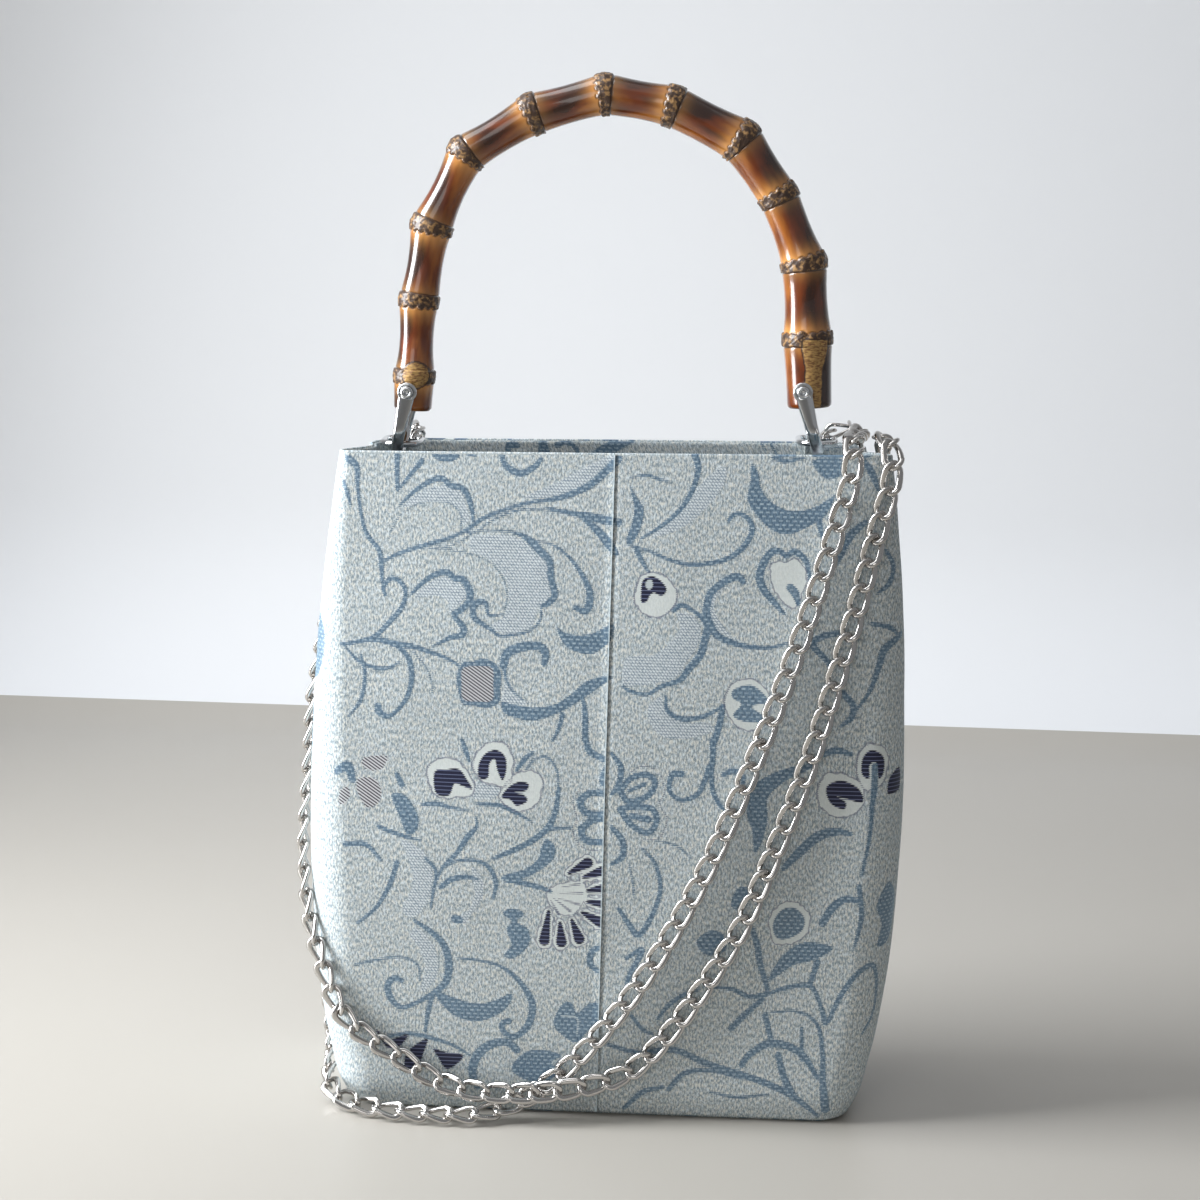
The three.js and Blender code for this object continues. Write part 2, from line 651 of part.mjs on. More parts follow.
const route = [
  fromBar(ringRight, 1, rightEndLink, -endOverlap),
  fromBar(ringRight, 1, rightEndLink, linkPitch - endOverlap),
  nearRim(91.0, 23.6, 7.6, 0.5, 0.5, 0.7),
  nearRim(94.6, 14.4, 7.4, 0.4, 0, 0.9),
  nearRim(93.0, 3.6, 6.8, 0.1, 0, 1),
  nearRim(90.6, -8.0, 6.6, 0, 0, 1),
  nearRim(89.6, -19.0, 7.0, 0, -0.2, 1),
  nearRim(89.4, -29.0, 5.2, 0, -0.75, 0.65),
  nearRim(89.0, -32.8, -3.0, 0, -1, 0.1),
  onFront(88.3, 248),
  onFront(83.4, 230),
  onFront(77.2, 208),
  onFront(70.6, 187),
  onFront(62.2, 162),
  onFront(51.9, 134),
  onFront(42.5, 110),
  onFront(29.4, 82),
  onFront(14.5, 55.5),
  onFront(-2.6, 32),
  onFront(-19.0, 14.5),
  loose(-33.0, -44.6, 6.6, 0, -0.75, 0.65),
  loose(-46.5, -50.0, 4.2, 0, -0.3, 0.95),
  loose(-61.0, -50.4, 3.9, 0, -0.2, 0.98),
  loose(-78.0, -48.4, 4.0, -0.1, -0.3, 0.95),
  loose(-94.0, -43.0, 4.6, -0.35, -0.6, 0.7),
  loose(-104.6, -32.4, 6.4, -0.8, -0.55, 0.35),
  onWall(-1, 0.44, 16),
  onWall(-1, 0.5, 32),
  onWall(-1, 0.53, 52),
  onWall(-1, 0.55, 76),
  onWall(-1, 0.585, 100),
  onWall(-1, 0.64, 122, cornerLift),
  onWall(-1, 0.74, 140, cornerLift),
  onWall(-1, 0.88, 156),
  onWall(1, 0.98, 172),
  onWall(1, 0.86, 190),
  onWall(1, 0.76, 209, cornerLift),
  onWall(1, 0.67, 224, cornerLift + 1.2),
  onWall(1, 0.57, 239, cornerLift + 0.6),
  nearRim(100.2, -4.6, -6.4, 1, 0, 0.15),
  nearRim(101.6, -9.2, 2.6, 0.85, 0, 0.5),
  nearRim(100.4, -17.4, 7.8, 0.2, 0, 1),
  nearRim(102.4, -26.4, 7.6, 0.1, -0.45, 0.9),
  nearRim(104.0, -32.6, 1.6, 0.1, -0.95, 0.3),
  nearRim(103.4, -33.6, -7.2, 0.1, -1, 0),
  onFront(99.2, 232),
  onFront(95.0, 214),
  onFront(90.4, 195),
  onFront(84.0, 171),
  onFront(73.7, 135.5),
  onFront(64.1, 109),
  onFront(53.4, 81),
  onFront(39.4, 56),
  onFront(24.0, 33),
  onFront(10.4, 19.5),
  loose(-3.2, -45.6, 15.8, 0, -1, 0),
  loose(-18.6, -48.8, 13.8, 0, -0.95, 0.3),
  loose(-35.0, -48.6, 12.6, 0, -0.85, 0.5),
  loose(-49.0, -46.6, 12.6, 0, -0.95, 0.3),
  loose(-62.6, -43.4, 15.2, 0, -1, 0.1),
  onFront(-77.6, 24.5),
  onWall(-1, 0.268, 38),
  onWall(-1, 0.298, 56),
  onWall(-1, 0.34, 76),
  onWall(-1, 0.39, 102),
  onWall(-1, 0.43, 130),
  onWall(-1, 0.45, 158),
  onWall(-1, 0.485, 186),
  onWall(-1, 0.53, 208),
  onWall(-1, 0.6, 226, cornerLift),
  onWall(-1, 0.685, 240, cornerLift),
  nearRim(-83.0, 32.6, -7.0, 0, 1, 0.1),
  nearRim(-81.0, 31.4, 1.6, 0, 0.8, 0.6),
  fromBar(ringLeft, 1, leftEndLink, linkPitch - endOverlap),
  fromBar(ringLeft, 1, leftEndLink, -endOverlap),
];

// Chain links along the route

function linkSolid() {
  const rows = [];
  const straight = linkHalfLength - linkHalfWidth;
  const bends = [-60, 0, 60];
  for (const end of [1, -1]) {
    for (const bend of bends) {
      const angle = THREE.MathUtils.degToRad(bend);
      const out = new THREE.Vector3(end * Math.cos(angle), end * Math.sin(angle), 0);
      const centre = new THREE.Vector3(end * straight, 0, 0).addScaledVector(out, linkHalfWidth);
      rows.push(stationLoop(centre, out, new THREE.Vector3(0, 0, 1), linkWire, linkWire, linkSides, Math.PI));
    }
  }
  const turn = (point) => {
    const angle = (linkTwist * point.x) / linkHalfLength;
    return new THREE.Vector3(
      point.x,
      point.y * Math.cos(angle) - point.z * Math.sin(angle),
      point.y * Math.sin(angle) + point.z * Math.cos(angle),
    );
  };
  return manifoldFrom(solidFrom(loftLoops(rows.map((row) => row.map(turn)), true)));
}

function routeCurve() {
  const curve = new THREE.CatmullRomCurve3(route.map((stop) => stop.at), false, "centripetal");
  curve.arcLengthDivisions = 4000;
  return curve;
}

function jointAt(curve, share) {
  const t = curve.getUtoTmapping(THREE.MathUtils.clamp(share, 0, 1));
  const at = t * (route.length - 1);
  const low = Math.min(Math.floor(at), route.length - 2);
  const out = route[low].out.clone().lerp(route[low + 1].out, at - low).normalize();
  return { at: curve.getPoint(t), out };
}

// Where one link lies: its length runs between two joints, and its flat side faces out.
function linkPlacing(from, to, out) {
  const along = to.at.clone().sub(from.at).normalize();
  const across = out.clone().cross(along).normalize();
  const facing = new THREE.Vector3().crossVectors(along, across);
  const middle = from.at.clone().add(to.at).multiplyScalar(0.5);
  return new THREE.Matrix4().makeBasis(along, across, facing).setPosition(middle);
}

// The runs of the chain and the number of links in each. A longer or shorter chain keeps their shares.
const chainPieces = [
  ["chain_over_right_corner", 6],
  ["chain_front_inner_upper", 14],
  ["chain_front_inner_lower", 16],
  ["chain_at_front_foot", 9],
  ["chain_round_left_foot", 10],
  ["chain_left_rear", 12],
  ["chain_across_back_low", 12],
  ["chain_across_back_high", 13],
  ["chain_over_right_side", 8],
  ["chain_front_outer_upper", 14],
  ["chain_front_outer_lower", 14],
  ["chain_front_foot_outer", 9],
  ["chain_left_front", 12],
  ["chain_to_left_ring", 16],
];

function chainNodes() {
  const link = linkSolid();
  const curve = routeCurve();
  const length = curve.getLength();
  const listed = chainPieces.reduce((sum, [, count]) => sum + count, 0);
  const slack = (chainPieces.length - 1) * pieceSlack;
  const total = Math.round((length + slack) / linkPitch);
  const pitch = (length + slack) / total;
  const bar = new THREE.Vector3(1, 0, 0);
  let travelled = 0;
  let passed = 0;
  let made = 0;
  chainPieces.forEach(([name, count]) => {
    const links = [];
    passed += count;
    const last = Math.round((passed / listed) * total) - 1;
    while (made <= last) {
      const from = jointAt(curve, travelled / length);
      const to = jointAt(curve, (travelled + pitch) / length);
      const along = to.at.clone().sub(from.at).normalize();
      let out = from.out.clone().add(to.out).normalize();
      // The two end links are turned so that their own twist squares them to the ring's bar.
      if (made === 0) out = bar.clone().applyAxisAngle(along, linkTwist);
      if (made === total - 1) out = bar.clone().applyAxisAngle(along, -linkTwist);
      links.push(link.transform(linkPlacing(from, to, out).toArray()));
      travelled += pitch;
      made += 1;
    }
    travelled -= pieceSlack;
    place(name, geometryFrom(wasm.Manifold.union(links)), chrome);
  });
}

chainNodes();

export default bag;
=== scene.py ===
"""An open-topped handbag of woven brocade, with a bamboo root handle and a curb-chain strap.

Lengths are in millimetres here and become metres as each mesh is made. +Z is up and the front
panel faces -Y.
"""
import math
import bpy
import numpy as np
from mathutils import Matrix, Vector, noise


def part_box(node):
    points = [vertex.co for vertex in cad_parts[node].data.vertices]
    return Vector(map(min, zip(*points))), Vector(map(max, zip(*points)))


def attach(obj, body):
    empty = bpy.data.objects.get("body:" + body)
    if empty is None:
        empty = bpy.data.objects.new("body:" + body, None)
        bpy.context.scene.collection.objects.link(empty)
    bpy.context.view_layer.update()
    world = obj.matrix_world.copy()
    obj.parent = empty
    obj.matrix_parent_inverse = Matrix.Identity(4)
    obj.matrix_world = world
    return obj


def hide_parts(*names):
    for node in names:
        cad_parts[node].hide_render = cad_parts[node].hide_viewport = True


MM = 0.001

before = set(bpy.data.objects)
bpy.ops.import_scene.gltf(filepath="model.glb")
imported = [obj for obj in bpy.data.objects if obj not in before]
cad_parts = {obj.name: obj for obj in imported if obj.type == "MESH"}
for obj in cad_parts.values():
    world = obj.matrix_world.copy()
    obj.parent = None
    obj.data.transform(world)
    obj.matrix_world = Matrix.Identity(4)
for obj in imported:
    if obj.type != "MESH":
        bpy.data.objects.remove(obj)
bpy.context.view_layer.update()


# The view. Places are in metres.

LENS = 72
CAMERA_PLACE = (0.0273, -0.9246, 0.351)
CAMERA_TURN = math.radians(2.0)
CAMERA_DIP = math.radians(9.42)
CAMERA_ROLL = math.radians(1.5)
WORLD_COLOUR = (0.88, 0.90, 0.93, 1)
WORLD_STRENGTH = 0.3


def place_camera():
    bpy.ops.object.camera_add()
    camera = bpy.context.object
    camera.name = "camera"
    camera.data.lens = LENS
    camera.data.sensor_width = 36
    camera.data.clip_start = 0.01
    turn = Matrix.Rotation(CAMERA_TURN, 4, "Z")
    pitch = Matrix.Rotation(math.pi / 2 - CAMERA_DIP, 4, "X")
    roll = Matrix.Rotation(CAMERA_ROLL, 4, "Z")
    camera.matrix_world = Matrix.Translation(CAMERA_PLACE) @ turn @ pitch @ roll
    bpy.context.scene.camera = camera


def area_light(name, place, aim, size, power, colour, spread=180):
    """A rectangular lamp in watts, turned to its aim. The spread is in degrees."""
    bpy.ops.object.light_add(type="AREA", location=place)
    light = bpy.context.object
    light.name = name
    light.data.shape = "RECTANGLE"
    light.data.size, light.data.size_y = size
    light.data.energy = power
    light.data.color = colour
    light.data.spread = math.radians(spread)
    direction = Vector(aim) - Vector(place)
    light.rotation_euler = direction.to_track_quat("-Z", "Y").to_euler()


def light_the_room():
    area_light("window", (-0.82, -0.17, 0.50), (0, 0, 0.17), (0.42, 0.95), 11,
               (0.94, 0.97, 1.0), 120)
    area_light("sky", (-0.6, 0.1, 1.5), (0.1, 0.5, 0.2), (0.8, 0.8), 3.4,
               (0.95, 0.98, 1.0), 140)
    area_light("ceiling", (-0.1, -0.3, 1.7), (0, 0, 0.1), (1.4, 1.2), 1.8, (1.0, 0.99, 0.97))
    area_light("room", (-0.5, -1.5, 0.8), (0, 0, 0.2), (0.7, 0.7), 2.4, (1.0, 0.98, 0.95))
    world = bpy.context.scene.world or bpy.data.worlds.new("room")
    bpy.context.scene.world = world
    world.use_nodes = True
    background = world.node_tree.nodes["Background"]
    background.inputs["Color"].default_value = WORLD_COLOUR
    background.inputs["Strength"].default_value = WORLD_STRENGTH


# Materials are built from a few short node helpers.

class Recipe:
    """A node tree with one Principled shader, written as short expressions."""

    def __init__(self, name, colour, roughness, metallic=0.0):
        self.material = bpy.data.materials.new(name)
        self.material.use_nodes = True
        self.tree = self.material.node_tree
        self.shader = self.tree.nodes["Principled BSDF"]
        self.set("Base Color", (*colour, 1))
        self.set("Roughness", roughness)
        self.set("Metallic", metallic)

    def put(self, socket, value):
        if isinstance(value, bpy.types.NodeSocket):
            self.tree.links.new(value, socket)
        else:
            socket.default_value = value

    def set(self, name, value):
        self.put(self.shader.inputs[name], value)

    def node(self, kind, **values):
        node = self.tree.nodes.new(kind)
        for key, value in values.items():
            setattr(node, key, value)
        return node

    def maths(self, operation, a, b=0.0, c=0.0, clamp=False):
        node = self.node("ShaderNodeMath", operation=operation, use_clamp=clamp)
        for socket, value in zip(node.inputs, (a, b, c)):
            self.put(socket, value)
        return node.outputs[0]

    def mix(self, share, a, b):
        node = self.node("ShaderNodeMix", data_type="RGBA")
        colours = [s for s in node.inputs if s.type == "RGBA"]
        self.put(node.inputs[0], share)
        for socket, value in zip(colours, (a, b)):
            self.put(socket, (*value, 1) if isinstance(value, tuple) else value)
        return [s for s in node.outputs if s.type == "RGBA"][0]

    def ramp(self, value, low, high):
        node = self.node("ShaderNodeMapRange", interpolation_type="SMOOTHSTEP")
        for socket, item in zip(node.inputs, (value, low, high, 0.0, 1.0)):
            self.put(socket, item)
        return node.outputs[0]

    def attribute(self, name):
        return self.node("ShaderNodeAttribute", attribute_name=name).outputs["Fac"]

    def place_on(self, scale=(1, 1, 1), source="UV"):
        """Coordinates scaled so that one unit is a millimetre."""
        at = self.node("ShaderNodeTexCoord").outputs[source]
        node = self.node("ShaderNodeMapping")
        self.put(node.inputs["Vector"], at)
        node.inputs["Scale"].default_value = tuple(1000 * s for s in scale)
        return node.outputs[0]

    def split(self, vector):
        node = self.node("ShaderNodeSeparateXYZ")
        self.put(node.inputs[0], vector)
        return node.outputs

    def noise(self, vector, scale, detail=2.0, roughness=0.5):
        node = self.node("ShaderNodeTexNoise")
        self.put(node.inputs["Vector"], vector)
        for key, value in (("Scale", scale), ("Detail", detail), ("Roughness", roughness)):
            node.inputs[key].default_value = value
        return node.outputs["Fac"]

    def wave(self, value, period, shift=0.0):
        """A sine between 0 and 1 that repeats every period."""
        angle = self.maths("MULTIPLY_ADD", value, 2 * math.pi / period, shift)
        return self.maths("MULTIPLY_ADD", self.maths("SINE", angle), 0.5, 0.5)

    def bump(self, height, strength, distance):
        node = self.node("ShaderNodeBump")
        self.put(node.inputs["Height"], height)
        node.inputs["Strength"].default_value = strength
        node.inputs["Distance"].default_value = distance * MM
        self.set("Normal", node.outputs[0])


# Meshes from grids of points

def grid_faces(rows, columns, close_rows=False, close_columns=False):
    """Four-cornered faces over a grid whose points are numbered row by row."""
    i = np.arange(rows if close_rows else rows - 1)[:, None]
    j = np.arange(columns if close_columns else columns - 1)[None, :]
    up = (i + 1) % rows
    over = (j + 1) % columns
    corners = [i * columns + j, i * columns + over, up * columns + over, up * columns + j]
    return np.stack(np.broadcast_arrays(*corners), axis=-1).reshape(-1, 4)


def new_piece(name, points, faces, material, body):
    """A mesh object in metres, which rides on a body and replaces the CAD node of its name."""
    mesh = bpy.data.meshes.new(name)
    corners = [[int(i) for i in face] for face in faces]
    mesh.from_pydata((np.asarray(points).reshape(-1, 3) * MM).tolist(), [], corners)
    piece = bpy.data.objects.new(name, mesh)
    bpy.context.scene.collection.objects.link(piece)
    mesh.polygons.foreach_set("use_smooth", [True] * len(mesh.polygons))
    mesh.materials.append(material)
    square_up(piece)
    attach(piece, body)
    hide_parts(name)
    return piece


def square_up(piece):
    """Turns every face outward."""
    bpy.context.view_layer.objects.active = piece
    bpy.ops.object.select_all(action="DESELECT")
    piece.select_set(True)
    bpy.ops.object.mode_set(mode="EDIT")
    bpy.ops.mesh.select_all(action="SELECT")
    bpy.ops.mesh.normals_make_consistent(inside=False)
    bpy.ops.object.mode_set(mode="OBJECT")


def give_values(piece, name, values):
    layer = piece.data.attributes.new(name, "FLOAT", "POINT")
    layer.data.foreach_set("value", np.asarray(values, dtype=np.float32).ravel())


def give_uv(piece, u, v):
    """A UV map in metres along the cloth, from one pair of values per point."""
    layer = piece.data.uv_layers.new(name="cloth")
    corners = np.zeros(len(piece.data.loops), dtype=np.int32)
    piece.data.loops.foreach_get("vertex_index", corners)
    pairs = np.stack([np.ravel(u)[corners], np.ravel(v)[corners]], axis=1) * MM
    layer.data.foreach_set("uv", pairs.ravel())


def capped_faces(rows, columns):
    """The faces of a tube whose rows go round it, with one face to close each end."""
    faces = grid_faces(rows, columns, close_columns=True).tolist()
    faces.append(list(range(columns)))
    faces.append(list(range((rows - 1) * columns, rows * columns)))
    return faces


def unit(vectors):
    """Each vector at length 1."""
    return vectors / np.linalg.norm(vectors, axis=-1, keepdims=True)


def smooth_step(low, high, value):
    t = np.clip((value - low) / (high - low), 0, 1)
    return t * t * (3 - 2 * t)


def ripple(u, v, size, seed):
    """Soft seeded unevenness between -1 and 1."""
    flat = np.stack([np.ravel(u), np.ravel(v)], axis=1) / size
    values = [noise.noise(Vector((a, b, seed))) for a, b in flat]
    return np.array(values).reshape(np.shape(u))


# The bag's plan, as the model has it

RIM = 258.0  # the rim's height at the middle
RIM_RISE = 2.1  # how much higher it is at the right end
CLOTH = 1.2  # the thickness of the outside
SEAT = 0.3  # the gap between parts that lie on each other
HEIGHTS = np.array([0, 9, 24, 58, 105, 158, 212, 258.0])
PLAN = {
    "half_width": [97.5, 102.0, 105.8, 111.2, 114.0, 113.4, 110.0, 104.4],
    "half_depth": [34.5, 37.6, 38.6, 40.0, 40.3, 37.8, 32.2, 26.0],
    "crown": [0.4, 0.8, 1.2, 1.8, 2.2, 2.2, 1.4, 0.8],
    "front": [13, 15, 16, 17, 17, 15, 10, 4.5],
    "rear": [13, 15, 16, 17, 18, 18, 17, 16],
    "inset": [0, 0, 0, 0, 0, 1, 4, 8],
    "pinch": [0, 0, 0, 0, 0.06, 0.2, 0.6, 1],
}
PINCH = {-1: 4.8, 1: 11.4}


def size_at(z, key):
    """A plan size at each height, on a smooth curve through the model's sections."""
    values = np.array(PLAN[key], dtype=float)
    slopes = np.gradient(values, HEIGHTS)
    z = np.clip(z, 0, RIM)
    low = np.clip(np.searchsorted(HEIGHTS, z, side="right") - 1, 0, len(HEIGHTS) - 2)
    span = HEIGHTS[low + 1] - HEIGHTS[low]
    t = (z - HEIGHTS[low]) / span
    ease = t * t * (3 - 2 * t)
    value = values[low] * (1 - ease) + values[low + 1] * ease
    value += span * slopes[low] * t * (1 - t) ** 2 - span * slopes[low + 1] * t * t * (1 - t)
    return value


def rim_scale(x):
    return 1 + RIM_RISE * x / size_at(RIM, "half_width") / RIM


def half_plan(side, z, counts, edge):
    """Half of the plan outline at each height, from the front seam round a side to the back seam.

    counts says how many steps run along the front, the front corner, the side, the rear corner
    and the back.
    """
    z = np.asarray(z, dtype=float)[:, None]
    size = {key: size_at(z, key) for key in PLAN}
    width, depth, crown = size["half_width"], size["half_depth"], size["crown"]
    front, rear = size["front"], size["rear"]
    rear_width = width - size["inset"]
    pinch = size["pinch"] * PINCH[side]
    steps = [np.linspace(0, 1, n + 1)[(0 if i == 0 else 1):][None, :] for i, n in enumerate(counts)]
    t = steps[0]
    x = edge + (width - front - edge) * t
    parts = [(x, -depth - crown * (1 - (x / (width - front)) ** 2))]
    angle = (steps[1] - 1) * math.pi / 2
    parts.append((width - front + front * np.cos(angle), -depth + front + front * np.sin(angle)))
    t = steps[2]
    fold = pinch * np.sin(math.pi * t) ** 2
    parts.append((width + (rear_width - width) * t - fold,
                  front - depth + (2 * depth - rear - front) * t))
    angle = steps[3] * math.pi / 2
    parts.append((rear_width - rear + rear * np.cos(angle), depth - rear + rear * np.sin(angle)))
    x = rear_width - rear + (edge - rear_width + rear) * steps[4]
    parts.append((x, depth + crown * (1 - (x / (rear_width - rear)) ** 2)))
    return side * np.hstack([p[0] for p in parts]), np.hstack([p[1] for p in parts])


def wall(side, z, inward, counts, edge=SEAT / 2):
    """Points of a half wall. z and inward give each row's height and its distance into the bag."""
    z = np.asarray(z, dtype=float)
    x, y = half_plan(side, z, counts, edge)
    along_x = np.gradient(x, axis=1)
    along_y = np.gradient(y, axis=1)
    length = np.hypot(along_x, along_y)
    in_x, in_y = -along_y / length * side, along_x / length * side
    in_x[:, [0, -1]] = 0
    in_y[:, 0], in_y[:, -1] = 1, -1
    inward = np.broadcast_to(np.reshape(inward, (-1, 1)), x.shape)
    x, y = x + in_x * inward, y + in_y * inward
    heights = np.broadcast_to(z[:, None], x.shape) * rim_scale(x)
    return np.stack([x, y, heights], axis=-1)


def whole_wall(z, inward, counts):
    """The whole plan as closed rows, from the middle of the front round to the right."""
    right = wall(1, z, inward, counts, 0)
    left = wall(-1, z, inward, counts, 0)
    return np.concatenate([right, left[:, -2:0:-1]], axis=1)


def run_along(points):
    """How far each point of a row lies along it from the row's first point."""
    step = np.linalg.norm(np.diff(points[..., :2], axis=1), axis=-1)
    return np.concatenate([np.zeros((points.shape[0], 1)), np.cumsum(step, axis=1)], axis=1)


# Woven figures, as distances to their edges

def spline(points, steps=8, closed=False):
    """A smooth curve through points, as many short steps."""
    points = np.asarray(points, dtype=float)
    if closed:
        points = np.vstack([points[-1:], points, points[:2]])
    else:
        points = np.vstack([2 * points[:1] - points[1:2], points, 2 * points[-1:] - points[-2:-1]])
    t = np.linspace(0, 1, steps, endpoint=False)[:, None]
    spans = []
    for a, b, c, d in zip(points, points[1:], points[2:], points[3:]):
        spans.append(0.5 * (2 * b + (c - a) * t + (2 * a - 5 * b + 4 * c - d) * t**2
                            + (3 * b - a - 3 * c + d) * t**3))
    curve = np.vstack(spans)
    return curve if closed else np.vstack([curve, points[-2:-1]])


class Pattern:
    """Distances in millimetres from each point of a cloth to the edges of its woven figures."""

    reach = 6.0

    def __init__(self, u, v):
        self.u, self.v = np.ravel(u), np.ravel(v)
        self.layers = {}
        self.only = 0  # -1 or 1 keeps a figure to that side of the seam

    def near(self, curve, margin):
        low, high = curve.min(0) - margin, curve.max(0) + margin
        inside = (self.u > low[0]) & (self.u < high[0]) & (self.v > low[1]) & (self.v < high[1])
        inside &= self.u * self.only >= 0
        return np.nonzero(inside)[0]

    def keep(self, layer, picked, distance):
        field = self.layers.setdefault(layer, np.full(self.u.shape, self.reach))
        field[picked] = np.minimum(field[picked], distance)

    def stroke(self, layer, points, widths):
        """A line whose width swells and tapers. widths are spread evenly along it."""
        curve = spline(points)
        share = np.linspace(0, 1, len(curve))
        half = np.interp(share, np.linspace(0, 1, len(widths)), widths) / 2
        picked = self.near(curve, half.max() + self.reach)
        if not len(picked):
            return
        at = np.stack([self.u[picked], self.v[picked]], axis=1)
        best = np.full(len(picked), self.reach)
        for a, b, ra, rb in zip(curve, curve[1:], half, half[1:]):
            run = b - a
            t = np.clip((at - a) @ run / max(run @ run, 1e-9), 0, 1)
            gap = np.linalg.norm(at - a - t[:, None] * run, axis=1) - (ra + (rb - ra) * t)
            best = np.minimum(best, gap)
        self.keep(layer, picked, best)

    def shape(self, layer, points):
        """A filled figure."""
        curve = spline(points, 6, closed=True)
        picked = self.near(curve, self.reach)
        if not len(picked):
            return
        at = np.stack([self.u[picked], self.v[picked]], axis=1)
        best = np.full(len(picked), self.reach)
        inside = np.zeros(len(picked), dtype=bool)
        for a, b in zip(curve, np.roll(curve, -1, axis=0)):
            run = b - a
            t = np.clip((at - a) @ run / max(run @ run, 1e-9), 0, 1)
            best = np.minimum(best, np.linalg.norm(at - a - t[:, None] * run, axis=1))
            crosses = (a[1] > at[:, 1]) != (b[1] > at[:, 1])
            rise = np.where(abs(run[1]) < 1e-9, 1e-9, run[1])
            inside ^= crosses & (at[:, 0] < a[0] + (at[:, 1] - a[1]) * run[0] / rise)
        self.keep(layer, picked, np.where(inside, -best, best))


LAYERS = ("blue", "tint", "navy", "pale", "edge", "violet", "blue2", "pale2")


